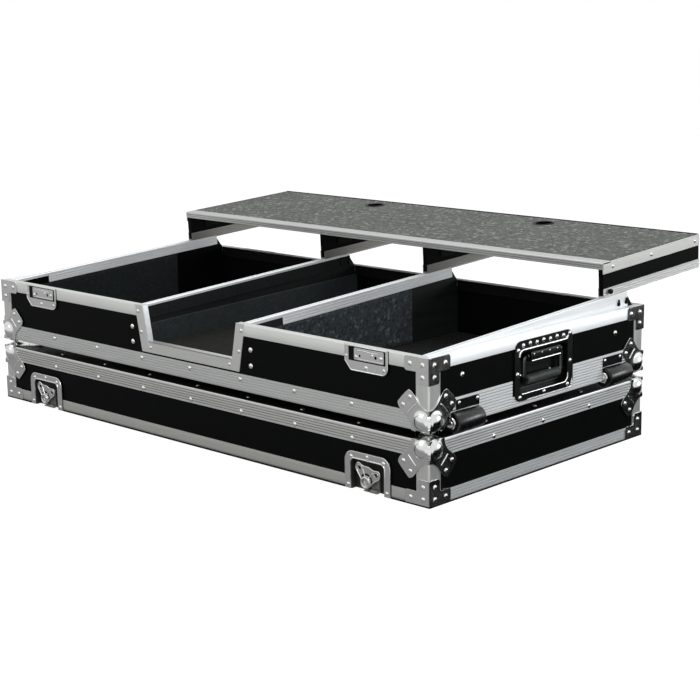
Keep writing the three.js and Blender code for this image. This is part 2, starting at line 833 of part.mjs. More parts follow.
// The front roller's housing, with the pin that its roller turns on
function rollerHousing() {
  const t = housingThick;
  const y0 = rollerStart - rollerGap - t;
  const y1 = rollerStart + rollerLength + rollerGap + t;
  const cup = cut(
    block(pocketInner, right, y0, y1, 0, pocketTop),
    block(pocketInner + t, right + overrun, y0 + t, y1 - t, -overrun, pocketTop - t),
  );
  const plateTop = pocketTop + housingPlate;
  const plate = block(right, right + plateThick, flangeReach + seatGap, y1, pocketTop - t, plateTop);
  const backing = block(right - t, right, flangeReach + seatGap, y1, pocketTop - t, pocketTop);
  const centre = [rollerX, rollerUp];
  const ears = [y0, y1 - t].map((y) => rod('y', earRadius, centre, y, y + t, 2 * smallSides));
  const pin = rod('y', axleRadius, centre, y0 - capThick, y1 + capThick, rodSides);
  const caps = [y0 - capThick, y1].map((y) => rod('y', capRadius, centre, y, y + capThick, 2 * smallSides));
  const headZ = plateTop - housingPlate / 3;
  const heads = [flangeReach + housingPlate / 2, y1 - housingPlate / 3].map((y) => (
    rivet('x', 1, right + plateThick, y, headZ, smallRivetShare)
  ));
  return fuse(cup, plate, backing, ...ears, pin, ...caps, ...heads);
}

function roller() {
  const bevel = hubLip * 2;
  const bore = axleRadius + seatGap;
  const y0 = rollerStart;
  const y1 = rollerStart + rollerLength;
  const profile = [[bore, y0 + hubLip], [hubRadius, y0 + hubLip], [hubRadius, y0], [rollerRadius - bevel, y0],
    [rollerRadius, y0 + bevel], [rollerRadius, y1 - bevel], [rollerRadius - bevel, y1], [hubRadius, y1],
    [hubRadius, y1 - hubLip], [bore, y1 - hubLip], [bore, y0 + hubLip]];
  return turned(profile, rollerSides).translate(rollerX, 0, rollerUp);
}

function buildBase() {
  const base = new THREE.Group();
  base.position.z = baseLift;
  const b = right - bandThick;
  const y0 = bandThick;
  const y1 = back - bandThick;
  const wallTop = rimTop - bandThick;
  const pockets = rollerPockets();

  const floor = cut(cornerRelief(block(-b, b, y0, y1, bandThick, skin), 0, 1), ...pockets);
  add(base, 'base_floor_board', fuse(floor, ...wellMats()), 'board');
  const panelHeads = [-1, 1].flatMap((side) => [panelScrewLow, panelScrewHigh].map((z) => (
    rivet('y', -1, side * panelScrewInset, bandThick, z)
  )));
  const opening = prism('y', frontCutout(bandThick), -overrun, rimDepth + overrun);
  const front = cut(block(-b, b, y0, skin, skin, wallTop), opening);
  add(base, 'base_front_board', fuse(front, ...panelHeads), 'laminate');
  add(base, 'base_rear_board', block(-b, b, back - skin, y1, skin, wallTop), 'laminate');
  add(base, 'base_left_board', endWall(-1), 'laminate');
  add(base, 'base_right_board', cut(endWall(1), ...pockets), 'laminate');
  const dividerTop = railWeb + seatGap;
  add(base, 'divider_left', railBoard(-bayHalf - boardThick, -bayHalf, dividerTop), 'board');
  add(base, 'divider_right', railBoard(bayHalf, bayHalf + boardThick, dividerTop), 'board');

  const gap = prism('y', frontCutout(0), -overrun, rimDepth + overrun);
  const catches = latchSites.map(([, x, side]) => onFace(catchPlate(), x, side));
  const braces = atFourCorners(cornerBrace(), rimTop, -1);
  const rim = cut(standing(rimFrame(baseRimBand), rimTop, -1), gap);
  add(base, 'base_rim_frame', fuse(rim, ...cutoutTrims(), ...catches, ...braces), 'aluminium');

  const low = [-1, 1].map((side) => onFace(
    block(-b, b, -overrun, bandThick, baseFrontBand, baseSideBand + overrun),
    0,
    side,
  ));
  const bottom = fuse(cut(angleFrame(baseSideBand, underLeg), ...low),
    ...cornerPosts(0, rimTop - baseRimBand), ...faceHeads(baseRivetHeight));
  const handles = [-1, 1].map((side) => onEnd(handlePocket(), side));
  add(base, 'base_bottom_frame', cut(cornerRelief(bottom, 0, 1), ...handles, ...pockets), 'aluminium');
  for (const [name, sideX, sideY] of corners) {
    add(base, `base_ball_corner_${name}`, atCorner(ballCorner(), sideX, sideY, 0, 1), 'chrome');
  }

  const deckBack = back - skin;
  const linerLow = mixerFloor - carpetThick;
  const linerTop = mixerFloor + mixerLinerHeight;
  const deckLow = linerLow - boardThick;
  const linings = [-1, 1].map((side) => (
    block(side * bayHalf, side * (bayHalf - mixerLinerThick), cutTrimDepth, deckBack, linerLow, linerTop)
  ));
  const deck = fuse(block(-bayHalf, bayHalf, skin, deckBack, deckLow, mixerFloor), ...linings);
  add(base, 'mixer_deck', deck, 'carpet');

  for (const [name, side] of [['left', -1], ['right', 1]]) {
    add(base, `handle_dish_${name}`, onEnd(handleDish(), side), 'chrome');
    add(base, `handle_spring_${name}`, onEnd(handleSpring(), side), 'chrome');
    add(base, `handle_bail_${name}`, onEnd(handleBail(), side), 'chrome');
    add(base, `handle_grip_${name}`, onEnd(handleGrip(), side), 'rubber');
  }
  add(base, 'roller_housing_front', rollerHousing(), 'blackPlastic');
  add(base, 'roller_housing_rear', toRear(rollerHousing()), 'blackPlastic');
  add(base, 'roller_front', roller(), 'rubber');
  add(base, 'roller_rear', toRear(roller()), 'rubber');
  return base;
}


// Rails and shelf, drawn level and then tipped up by the rails' slope. z = 0 is the rails' top face.

const railNames = ['left', 'bay_left', 'bay_right', 'right'];

// The side of each rail that faces a turntable's well
const wellSides = [1, -1, 1, -1];

function railGroup() {
  const tipped = new THREE.Group();
  tipped.position.z = baseLift + rimTop - railDrop;
  tipped.rotation.x = slope;
  return tipped;
}

// A rail of channel section with a dovetail groove, drawn about x = 0 with its well on the right
function railShape() {
  const h = railHalf;
  const t = innerLegThick;
  const web = -railWeb;
  const well = web - railInnerLeg;
  const far = web - railOuterLeg;
  const outline = [[-h, far], [t - h, far], [t - h, web], [h - t, web], [h - t, well], [h, well], [h, 0],
    [grooveTopHalf, 0], [grooveBottomHalf, -grooveDepth], [-grooveBottomHalf, -grooveDepth],
    [-grooveTopHalf, 0], [-h, 0]];
  const y0 = rimDepth + seatGap;
  const y1 = back - railRearInset;
  const screwZ = far + 2 * stopScrewRadius;
  const screws = [stopScrewNear, stopScrewFar].map((inset) => (
    rod('x', stopScrewRadius, [y1 - inset, screwZ], -h - stopScrewHeight, t - h, smallSides)
  ));
  const notch = block(railNotchStrip - h, h + overrun, y0 - overrun, y0 + railNotch, well - overrun, web);
  return cut(fuse(prism('y', outline, y0, y1), ...screws), notch);
}

function buildRails() {
  const rails = railGroup();
  railPlaces.forEach((x, i) => {
    const rail = mirrored(railShape(), wellSides[i], 1, 1).translate(x, 0, 0);
    add(rails, `rail_${railNames[i]}`, rail, 'aluminium');
  });
  return rails;
}

// A channel on a leg's lower edge, with the tongue that runs in a rail's groove
function runner() {
  const h = railHalf;
  const t = innerLegThick;
  const gap = seatGap;
  const neck = grooveTopHalf - gap;
  const foot = grooveBottomHalf - gap;
  const tongue = 2 * gap - grooveDepth;
  const outline = [[-h, gap], [-neck, gap], [-foot, tongue], [foot, tongue], [neck, gap], [h, gap],
    [h, runnerLeg], [h - t, runnerLeg], [h - t, runnerWeb], [t - h, runnerWeb], [t - h, runnerLeg],
    [-h, runnerLeg]];
  return prism('y', outline, 0, shelfDepth);
}

// An upright rod that cuts a cable hole of a radius out of the shelf
function cableHole(x, radius) {
  const y = shelfDepth - cableHoleInset;
  return rod('z', radius, [x, y], shelfBoardLow - overrun, shelfHeight + overrun, 2 * smallSides);
}

// A sleeve through a cable hole, with a lip that stands on the carpet
function grommet(x) {
  const outer = cableHoleRadius + grommetWall;
  const profile = [[cableHoleRadius, shelfBoardLow], [outer, shelfBoardLow], [outer, shelfHeight],
    [outer + grommetLip, shelfHeight], [outer + grommetLip, shelfHeight + plateThick],
    [cableHoleRadius, shelfHeight + plateThick], [cableHoleRadius, shelfBoardLow]];
  return turned(profile, 2 * smallSides).rotateX(Math.PI / 2).translate(x, shelfDepth - cableHoleInset, 0);
}

function shelfTrim() {
  const w = shelfHalf;
  const t = innerLegThick;
  const low = shelfHeight - shelfSideTrim;
  const lip = shelfHeight - shelfFrontLeg;
  const under = shelfBoardTop + seatGap;
  const front = [[-t, lip], [-seatGap, lip], [-seatGap, under], [shelfFrontTop, under],
    [shelfFrontTop, shelfHeight], [-t, shelfHeight]];
  const sides = [-1, 1].flatMap((side) => [
    block(side * w, side * (w + t), -t, shelfDepth, low, shelfHeight),
    ...shelfRivetShares.map((share) => (
      rivet('x', side, side * (w + t), share * shelfDepth, shelfHeight - shelfSideTrim / 2, smallRivetShare)
    )),
  ]);
  return fuse(prism('x', front, -w - t, w + t), ...sides);
}

function buildShelf() {
  const shelf = railGroup();
  const moving = new THREE.Group();
  moving.position.y = shelfSetback;
  shelf.add(moving);
  const w = shelfHalf;
  const half = boardThick / 2;
  const places = [-cableHolePlace, cableHolePlace];
  const holes = places.map((x) => cableHole(x, cableHoleRadius));
  const sleeves = places.map((x) => cableHole(x, cableHoleRadius + grommetWall + grommetLip + seatGap));

  const legLow = runnerWeb + seatGap;
  const legs = railPlaces.map((x) => block(x - half, x + half, 0, shelfDepth, legLow, shelfBoardTop));
  const board = fuse(block(-w, w, 0, shelfDepth, shelfBoardLow, shelfBoardTop), ...legs);
  add(moving, 'shelf_board', fuse(cut(board, ...holes), ...places.map(grommet)), 'board');
  const carpet = block(-w, w, shelfFrontTop + seatGap, shelfDepth, shelfBoardTop + seatGap, shelfHeight);
  add(moving, 'shelf_carpet', cut(carpet, ...sleeves), 'shelfCarpet');
  add(moving, 'shelf_trim', shelfTrim(), 'aluminium');
  railPlaces.forEach((x, i) => {
    add(moving, `shelf_runner_${railNames[i]}`, runner().translate(x, 0, 0), 'aluminium');
  });
  return shelf;
}


// The whole case, with its origin under the middle of its box

const coffinCase = new THREE.Group();
coffinCase.add(buildLid(), buildBase(), buildRails(), buildShelf());
coffinCase.updateMatrixWorld(true);
const bounds = new THREE.Box3().setFromObject(coffinCase, true);
coffinCase.position.set(-(bounds.min.x + bounds.max.x) / 2, -(bounds.min.y + bounds.max.y) / 2, 0);

export default coffinCase;
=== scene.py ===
"""The looks of a DJ coffin case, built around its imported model.

Shapes are drawn in millimetres in the case's own coordinates, where x = 0 is the middle, y = 0 the
front and z = 0 the underside of the piece's half, and are then placed in the model's frame in metres.
"""

import math

import bmesh
import bpy
import numpy as np
from mathutils import Matrix, Vector
from mathutils.geometry import tessellate_polygon


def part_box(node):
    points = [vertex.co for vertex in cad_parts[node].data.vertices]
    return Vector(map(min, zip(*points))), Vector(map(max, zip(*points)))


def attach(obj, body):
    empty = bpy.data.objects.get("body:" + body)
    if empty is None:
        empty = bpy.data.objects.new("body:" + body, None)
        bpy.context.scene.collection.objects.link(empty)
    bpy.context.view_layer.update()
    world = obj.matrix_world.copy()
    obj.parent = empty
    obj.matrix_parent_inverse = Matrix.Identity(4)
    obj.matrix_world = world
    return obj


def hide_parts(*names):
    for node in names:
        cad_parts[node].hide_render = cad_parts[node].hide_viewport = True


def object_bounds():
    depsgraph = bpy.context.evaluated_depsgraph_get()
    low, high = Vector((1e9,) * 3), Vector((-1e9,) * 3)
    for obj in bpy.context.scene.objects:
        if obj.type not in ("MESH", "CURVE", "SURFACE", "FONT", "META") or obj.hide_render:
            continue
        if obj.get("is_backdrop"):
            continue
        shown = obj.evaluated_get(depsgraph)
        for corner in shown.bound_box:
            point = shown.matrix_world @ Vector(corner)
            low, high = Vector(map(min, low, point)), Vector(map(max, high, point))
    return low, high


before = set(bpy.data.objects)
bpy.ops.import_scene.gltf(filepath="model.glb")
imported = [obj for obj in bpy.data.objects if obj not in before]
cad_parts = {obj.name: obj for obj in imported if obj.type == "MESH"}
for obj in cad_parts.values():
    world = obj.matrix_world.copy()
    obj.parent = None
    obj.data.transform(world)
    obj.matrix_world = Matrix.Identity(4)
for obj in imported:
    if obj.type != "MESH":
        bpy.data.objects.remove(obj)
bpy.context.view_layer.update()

# Sizes of the case, in millimetres
RIGHT, BACK = 540.0, 556.0
LID_H, BASE_H = 102.5, 113.5
LIFT = 116.8
BAND, SKIN, RIM_DEPTH, GROOVE = 2.0, 11.0, 12.5, 0.95
SLOPE = math.radians(2.9)
RAIL_Z = LIFT + BASE_H - 1.0
RAIL_HALF, RAIL_LEG = 6.0, 19.4
SIDE_RAIL, BAY_RAIL = 520.5, 131.5
RAILS = {"left": -SIDE_RAIL, "bay_left": -BAY_RAIL, "bay_right": BAY_RAIL, "right": SIDE_RAIL}
SHELF_Y, SHELF_HALF, SHELF_D, SHELF_TOP, SHELF_TRIM = 460.0, 525.0, 291.5, 60.0, 20.0
SHELF_UNDER = SHELF_TOP - 12.0
HOLES, HOLE_Y, HOLE_CLEAR = (-217.0, 217.0), SHELF_D - 47.0, 18.3
SILL, CUT_LOW, CUT_HIGH = 51.5, 108.0, 120.0
LATCH_X = 414.0
HANDLE_Y, HANDLE_Z, HINGE_Z, GRIP_Z = BACK / 2, 52.0, 76.0, 39.0
SIDES = (-1, 1)
ENDS = dict(zip(("left", "right"), SIDES))
CORNERS = {f"{face}_{end}": (x, y) for face, y in zip(("front", "rear"), SIDES) for end, x in ENDS.items()}
LATCHES = {corner: (x * LATCH_X, y) for corner, (x, y) in CORNERS.items()}
# The front and rear faces: where each lies along y, and which way it looks
WALLS = ((0.0, -1), (BACK, 1))
# The corners of a level outline: place, and the way in from there
MITRES = [(-RIGHT, 0, 1, 1), (RIGHT, 0, -1, 1), (RIGHT, BACK, -1, -1), (-RIGHT, BACK, 1, -1)]

MM = 0.001
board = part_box("lid_top_board")[0]
SHIFT = Vector((board.x / MM + RIGHT - BAND, board.y / MM - BAND, 0.0))


def place(z=0.0, slope=0.0, y=0.0):
    """The matrix from case millimetres to the model's frame for a group lifted by z and tipped."""
    moved = Matrix.Translation((SHIFT + Vector((0, 0, z))) * MM)
    return moved @ Matrix.Scale(MM, 4) @ Matrix.Rotation(slope, 4, "X") @ Matrix.Translation((0, y, 0))


LID = place()
BASE = place(LIFT)
RAIL = place(RAIL_Z, SLOPE)
SHELF = place(RAIL_Z, SLOPE, SHELF_Y)


def shown(name, data):
    """An object in the scene."""
    made = bpy.data.objects.new(name, data)
    bpy.context.scene.collection.objects.link(made)
    return made


# Camera, at the photograph's angle

camera_data = bpy.data.cameras.new("camera")
camera = shown("camera", camera_data)
across = Vector((0.72256216, 0.69115473, -0.01445902))
above = Vector((-0.13726168, 0.16393543, 0.97687482))
behind = Vector((0.67754199, -0.70386811, 0.2133226))
turn = Matrix((across, above, behind)).transposed().to_4x4()
camera.matrix_world = Matrix.Translation((2.1086699, -2.1733488, 0.767247)) @ turn
camera_data.sensor_width = 36
camera_data.lens = 85.718
camera_data.clip_start, camera_data.clip_end = 0.05, 50
bpy.context.scene.camera = camera


# Outlines


def around(sides):
    """Directions evenly round a circle."""
    return [(math.cos(2 * math.pi * i / sides), math.sin(2 * math.pi * i / sides)) for i in range(sides)]


def fillet(points, radius, steps=5):
    """A closed outline with its corners rounded. radius is a number, or one for each corner."""
    count = len(points)
    radii = radius if isinstance(radius, list) else [radius] * count
    out = []
    for i, (here, r) in enumerate(zip(points, radii)):
        p = Vector(here)
        to_a, to_b = Vector(points[i - 1]) - p, Vector(points[(i + 1) % count]) - p
        half = to_a.angle(to_b) / 2
        if r <= 0 or half > math.pi / 2 - 0.02:
            out.append(p[:])
            continue
        reach = min(r / math.tan(half), 0.48 * to_a.length, 0.48 * to_b.length)
        to_a.normalize()
        to_b.normalize()
        centre = p + (to_a + to_b).normalized() * (reach / math.cos(half))
        start, end = p + to_a * reach - centre, p + to_b * reach - centre
        bend = math.atan2(start.x * end.y - start.y * end.x, start.dot(end))
        for k in range(steps + 1):
            c, s = math.cos(bend * k / steps), math.sin(bend * k / steps)
            out.append((centre.x + start.x * c - start.y * s, centre.y + start.x * s + start.y * c))
    return out


def curve(points, closed=False, steps=4):
    """A smooth curve through points. An open one keeps its first and last points."""
    ends = [points[-1], *points, *points[:2]] if closed else [points[0], *points, points[-1]]
    out = []
    for i in range(len(ends) - 3):
        p0, p1, p2, p3 = (Vector(p) for p in ends[i : i + 4])
        for t in (k / steps for k in range(steps)):
            bend = 2 * p1 + (p2 - p0) * t + (2 * p0 - 5 * p1 + 4 * p2 - p3) * t * t
            out.append(((bend + (3 * p1 - p0 - 3 * p2 + p3) * t**3) / 2)[:])
    return out if closed else [*out, points[-1]]


def rect(a0, a1, b0, b1):
    return [(a0, b0), (a1, b0), (a1, b1), (a0, b1)]


def disc(a, b, radius, sides=20):
    return [(a + radius * c, b + radius * s) for c, s in around(sides)]


def at(x, points):
    """Outline points made places on an upright plane that faces along x."""
    return [(x, a, b) for a, b in points]


def on(y, points):
    """Outline points made places on an upright plane that faces along y."""
    return [(a, y, b) for a, b in points]


def ribbed(low, high, count, width=1.6):
    """Points up an outer face from low to high with grooves along it."""
    out, pitch = [(0, low)], (high - low) / (count + 1)
    for i in range(count):
        c = low + pitch * (i + 1)
        out += [(0, c - width / 2), (GROOVE, c - width / 3), (GROOVE, c + width / 3), (0, c + width / 2)]
    return [*out, (0, high)]


# Shapes


def spot(axis, a, b, c):
    """The point with c along the axis and a, b on the other two, in x, y, z order."""
    return {"x": (c, a, b), "y": (a, c, b), "z": (a, b, c)}[axis]


def slab(bm, axis, outline, low, high, holes=()):
    """An outline with holes, made solid between two places along an axis."""
    loops = [list(outline), *[list(h) for h in holes]]
    rings = [
        [[bm.verts.new(spot(axis, a, b, c)) for a, b in loop] for loop in loops] for c in (low, high)
    ]
    for below, over in zip(*rings):
        for i in range(len(below)):
            j = (i + 1) % len(below)
            bm.faces.new((below[i], below[j], over[j], over[i]))
    for ring in rings:
        if not holes:
            bm.faces.new(ring[0])
            continue
        flat_ring = [v for loop in ring for v in loop]
        for tri in tessellate_polygon([[Vector((a, b, 0)) for a, b in loop] for loop in loops]):
            corners = [flat_ring[k] for k in tri]
            if len(set(corners)) == 3:
                bm.faces.new(corners)


def box(bm, x0, x1, y0, y1, z0, z1):
    slab(bm, "z", rect(min(x0, x1), max(x0, x1), min(y0, y1), max(y0, y1)), min(z0, z1), max(z0, z1))


def lathe(bm, profile, sides=24, matrix=Matrix.Identity(4), closed=False):
    """Turns a profile of (radius, height) about Z. A point at radius 0 closes the end."""
    rings = [
        [bm.verts.new(matrix @ Vector((r * c, r * s, h))) for c, s in (around(sides) if r else [(0, 0)])]
        for r, h in profile
    ]
    for a, b in zip(rings, [*rings[1:], rings[0]] if closed else rings[1:]):
        for i in range(sides):
            j = (i + 1) % sides
            corners = (a[i % len(a)], a[j % len(a)], b[j % len(b)], b[i % len(b)])
            bm.faces.new(list(dict.fromkeys(corners)))


def toward(at_point, normal):
    """A matrix that puts the origin at a point and Z along a normal."""
    return Matrix.Translation(at_point) @ Vector(normal).to_track_quat("Z", "Y").to_matrix().to_4x4()


def dome(bm, at_point, normal, share=1.0):
    """A rivet's domed head."""
    radius, height, rings, sides = 4.1 * share, 2.1 * share, 4, 14
    steps = [k * math.pi / 2 / rings for k in range(rings)]
    profile = [(radius * math.cos(step), height * math.sin(step)) for step in steps]
    lathe(bm, [(radius, -0.3), *profile, (0, height)], sides, toward(at_point, normal))


def tube(bm, path, radius, sides=12, closed=False):
    """A round bar along a path."""
    points = [Vector(p) for p in path]
    n, side, rings = len(points), None, []
    for i, p in enumerate(points):
        before = points[i - 1] if i or closed else p
        after = points[(i + 1) % n] if i < n - 1 or closed else p
        along = (after - before).normalized()
        side = side or along.orthogonal()
        side = (side - along * side.dot(along)).normalized()
        other = along.cross(side)
        rings.append([bm.verts.new(p + radius * (side * c + other * s)) for c, s in around(sides)])
    for i in range(n if closed else n - 1):
        a, b = rings[i], rings[(i + 1) % n]
        # The last ring of a closed bar meets the first where they lie nearest
        shift = min(range(sides), key=lambda s: (a[0].co - b[s].co).length) if i == n - 1 else 0
        for k in range(sides):
            j = (k + 1) % sides
            bm.faces.new((a[k], a[j], b[(j + shift) % sides], b[(k + shift) % sides]))
    if not closed:
        bm.faces.new(rings[0])
        bm.faces.new(rings[-1])


def sweep(bm, path, profile, closed=False):
    """A band along a level path of (x, y, inward x, inward y). The profile is (inset, height).

    Faces along x get the first material, faces along y the second, and the bottoms of grooves the third,
    whose darker look is painted shade in the grooves.
    """
    n, count = len(path), len(profile)
    rings = [[bm.verts.new((x + d * to_x, y + d * to_y, z)) for d, z in profile] for x, y, to_x, to_y in path]
    for i in range(n if closed else n - 1):
        a, b = rings[i], rings[(i + 1) % n]
        step = Vector(path[(i + 1) % n][:2]) - Vector(path[i][:2])
        index = 0 if abs(step.x) > abs(step.y) else 1
        for k in range(count):
            j = (k + 1) % count
            sunk = GROOVE in (profile[k][0], profile[j][0])
            bm.faces.new((a[k], a[j], b[j], b[k])).material_index = 2 if sunk else index
    if not closed:
        bm.faces.new(rings[0])
        bm.faces.new(rings[-1])


def mesh_of(bm, name="part", outward=True):
    """The mesh of a drawn shape, its faces turned outwards."""
    if outward:
        bmesh.ops.recalc_face_normals(bm, faces=bm.faces)
    mesh = bpy.data.meshes.new(name)
    bm.to_mesh(mesh)
    bm.free()
    return mesh


def join(bm, part, matrix=Matrix.Identity(4)):
    """Adds a drawn shape to another, placed by a matrix."""
    mesh = mesh_of(part)
    mesh.transform(matrix)
    if matrix.determinant() < 0:
        mesh.flip_normals()
    bm.from_mesh(mesh)
    bpy.data.meshes.remove(mesh)


def placed(part, put):
    """A drawn shape, moved to its place."""
    bm = bmesh.new()
    join(bm, part, put)
    return bm


def drawing(draw):
    """Turns a function that draws on a shape into one that draws a new shape in its place."""

    def made(put):
        part = bmesh.new()
        draw(part)
        return placed(part, put)

    return made


def piece(name, body, bm, looks, matrix, replaces=(), bevel=0.0, angle=32, outward=True):
    """Makes an object of a drawn shape, in its place, that rides on a body."""
    mesh = mesh_of(bm, name, outward)
    mesh.transform(matrix)
    for look in looks if isinstance(looks, list) else [looks]:
        mesh.materials.append(look)
    mesh.shade_smooth()
    mesh.set_sharp_from_angle(angle=math.radians(angle))
    made = shown(name, mesh)
    if bevel:
        soften(made, bevel)
    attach(made, body)
    if replaces:
        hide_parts(*replaces)


def soften(made, width):
    """Rounds an object's sharp edges by a width in millimetres."""
    bevel = made.modifiers.new("edges", "BEVEL")
    bevel.width = width * MM
    bevel.segments = 2
    bevel.limit_method = "ANGLE"
    bevel.angle_limit = math.radians(40)
    bevel.use_clamp_overlap = True
    bevel.harden_normals = True


def shifted(x, y=0.0, z=0.0):
    return Matrix.Translation((x, y, z))


def flipped(sx=1, sy=1, sz=1):
    return Matrix.Diagonal((sx, sy, sz, 1))


def on_face(x, side):
    """Puts what is drawn on the front face at x on the front (-1) or the rear (1) face."""
    return shifted(x, BACK if side > 0 else 0) @ flipped(1, -side, 1)


def at_corner(side_x, side_y, z, up):
    """Puts what is drawn about a corner at the origin at one of the case's corners."""
    return shifted(side_x * RIGHT, BACK if side_y > 0 else 0, z) @ flipped(-side_x, -side_y, up)


# Materials


def fill(tree, socket, value):
    """Gives a socket a link, a colour or a number."""
    if isinstance(value, bpy.types.NodeSocket):
        tree.links.new(value, socket)
    else:
        socket.default_value = (*value, 1) if isinstance(value, tuple) else value


def add(tree, kind, *first, **named):
    """A new node, with its first sockets filled in order and others, or settings, by name."""
    made = tree.nodes.new(kind)
    for key, value in named.items():
        if key in made.inputs:
            made.inputs[key].default_value = value
        else:
            setattr(made, key, value)
    for socket, value in zip(made.inputs, first):
        fill(tree, socket, value)
    return made


class Look:
    """A procedural material, built up on the principled shader."""

    def __init__(self, name, color, roughness, metallic=0.0, specular=0.5):
        self.material = bpy.data.materials.new(name)
        self.material.use_nodes = True
        self.material.diffuse_color = (*color, 1)
        self.tree = self.material.node_tree
        self.shader = self.tree.nodes["Principled BSDF"]
        self.coordinates = add(self.tree, "ShaderNodeTexCoord").outputs["Object"]
        self.height = None
        self.set("Base Color", color)
        self.set("Roughness", roughness)
        self.set("Metallic", metallic)
        self.set("Specular IOR Level", specular)

    def set(self, name, value):
        fill(self.tree, self.shader.inputs[name], value)

    def noise(self, scale, detail=3.0, rough=0.5, stretch=(1, 1, 1)):
        where = add(self.tree, "ShaderNodeMapping", self.coordinates, Scale=stretch).outputs["Vector"]
        values = {"Scale": scale, "Detail": detail, "Roughness": rough}
        return add(self.tree, "ShaderNodeTexNoise", where, **values).outputs["Fac"]

    def cells(self, scale, output="Distance"):
        return add(self.tree, "ShaderNodeTexVoronoi", self.coordinates, Scale=scale).outputs[output]

    def ramp(self, value, stops):
        """A value run through (place, level) stops."""
        made = add(self.tree, "ShaderNodeValToRGB", value)
        for element, (at_place, level) in zip(made.color_ramp.elements, stops):
            element.position = at_place
            element.color = (level, level, level, 1)
        return made.outputs["Color"]

    def mixed(self, factor, a, b, blend="MIX"):
        """Two colours, or sockets, mixed by a factor."""
        made = add(self.tree, "ShaderNodeMix", data_type="RGBA", blend_type=blend)
        for index, value in ((0, factor), (6, a), (7, b)):
            fill(self.tree, made.inputs[index], value)
        return made.outputs[2]

    def math(self, operation, *values):
        return add(self.tree, "ShaderNodeMath", *values, operation=operation).outputs[0]

    def bump(self, socket, distance, strength=1.0):
        """Adds relief of a depth in millimetres."""
        made = add(self.tree, "ShaderNodeBump", Strength=strength, Distance=distance * MM)
        fill(self.tree, made.inputs["Height"], socket)
        if self.height:
            fill(self.tree, made.inputs["Normal"], self.height)
        self.height = made.outputs["Normal"]
        self.set("Normal", self.height)


def scaled(color, share):
    return tuple(min(1, c * share) for c in color)


def aluminium(name, along, color=(0.6, 0.61, 0.595), metallic=0.85):
    """Satin extruded aluminium, drawn along one axis, its skin a little dulled."""
    look = Look(name, color, 0.4, metallic, 0.3)
    stretch = [1.0, 1.0, 1.0]
    stretch[along] = 0.012
    streak = look.noise(1400, 3, 0.6, stretch)
    wide = look.noise(260, 2, 0.5, stretch)
    cloud = look.noise(18, 3, 0.55)
    dark, light = scaled(color, 0.87), scaled(color, 1.06)
    tone = look.mixed(look.ramp(streak, [(0.3, 0.0), (0.7, 1.0)]), dark, light)
    tone = look.mixed(look.ramp(wide, [(0.38, 0.3), (0.6, 0.0)]), tone, dark)
    look.set("Base Color", look.mixed(look.ramp(cloud, [(0.4, 0.0), (0.8, 0.3)]), tone, dark))
    rough = look.math("MULTIPLY_ADD", cloud, 0.14, 0.28)
    look.set("Roughness", look.math("MULTIPLY_ADD", streak, 0.14, rough))
    look.bump(streak, 0.03, 0.4)
    return look.material


def chrome(name, color=(0.7, 0.71, 0.7), rough=0.11, wave=0.26):
    """Bright plated steel, a little uneven from the press, with faint wear."""
    look = Look(name, color, rough, 1.0)
    smear, dirt = look.noise(45, 4, 0.6), look.noise(120, 4, 0.65)
    haze = look.math("MULTIPLY", smear, dirt)
    look.set("Roughness", look.math("MULTIPLY_ADD", haze, 0.3, rough))
    worn = look.ramp(dirt, [(0.5, 0.0), (0.8, 0.35)])
    look.set("Base Color", look.mixed(worn, color, scaled(color, 0.7)))
    look.bump(look.noise(60, 2, 0.5), wave, 0.5)
    look.bump(look.noise(900, 2, 0.5), 0.01, 0.3)
    return look.material


def laminate():
    """Black plastic skin with a fine grain and a few pale scuffs."""
    color = (0.0026, 0.0032, 0.0028)
    look = Look("laminate_black", color, 0.36, specular=0.03)
    dust = look.noise(30, 5, 0.7)
    scuff = look.noise(420, 3, 0.6, (0.12, 0.12, 1.0))
    where = look.ramp(dust, [(0.5, 0.0), (0.7, 0.6)])
    marks = look.math("MULTIPLY", look.ramp(scuff, [(0.62, 0.0), (0.78, 1.0)]), where)
    look.set("Base Color", look.mixed(marks, color, (0.02, 0.021, 0.021)))
    look.set("Roughness", look.math("MULTIPLY_ADD", dust, 0.22, 0.26))
    look.bump(look.cells(1100), 0.07, 0.35)
    return look.material


def plywood():
    """Plywood stained black, with its grain along the floor."""
    color = (0.008, 0.009, 0.0092)
    look = Look("plywood_black", color, 0.62, specular=0.16)
    grain = look.noise(90, 6, 0.65, (0.07, 0.07, 1.0))
    patch = look.ramp(look.noise(14, 3, 0.5), [(0.4, 0.0), (0.75, 0.5)])
    tone = look.mixed(look.ramp(grain, [(0.35, 0.0), (0.7, 1.0)]), color, (0.017, 0.0195, 0.02))
    look.set("Base Color", look.mixed(patch, tone, (0.013, 0.015, 0.015)))
    look.set("Roughness", look.math("MULTIPLY_ADD", grain, 0.3, 0.42))
    look.bump(grain, 0.25, 0.5)
    return look.material


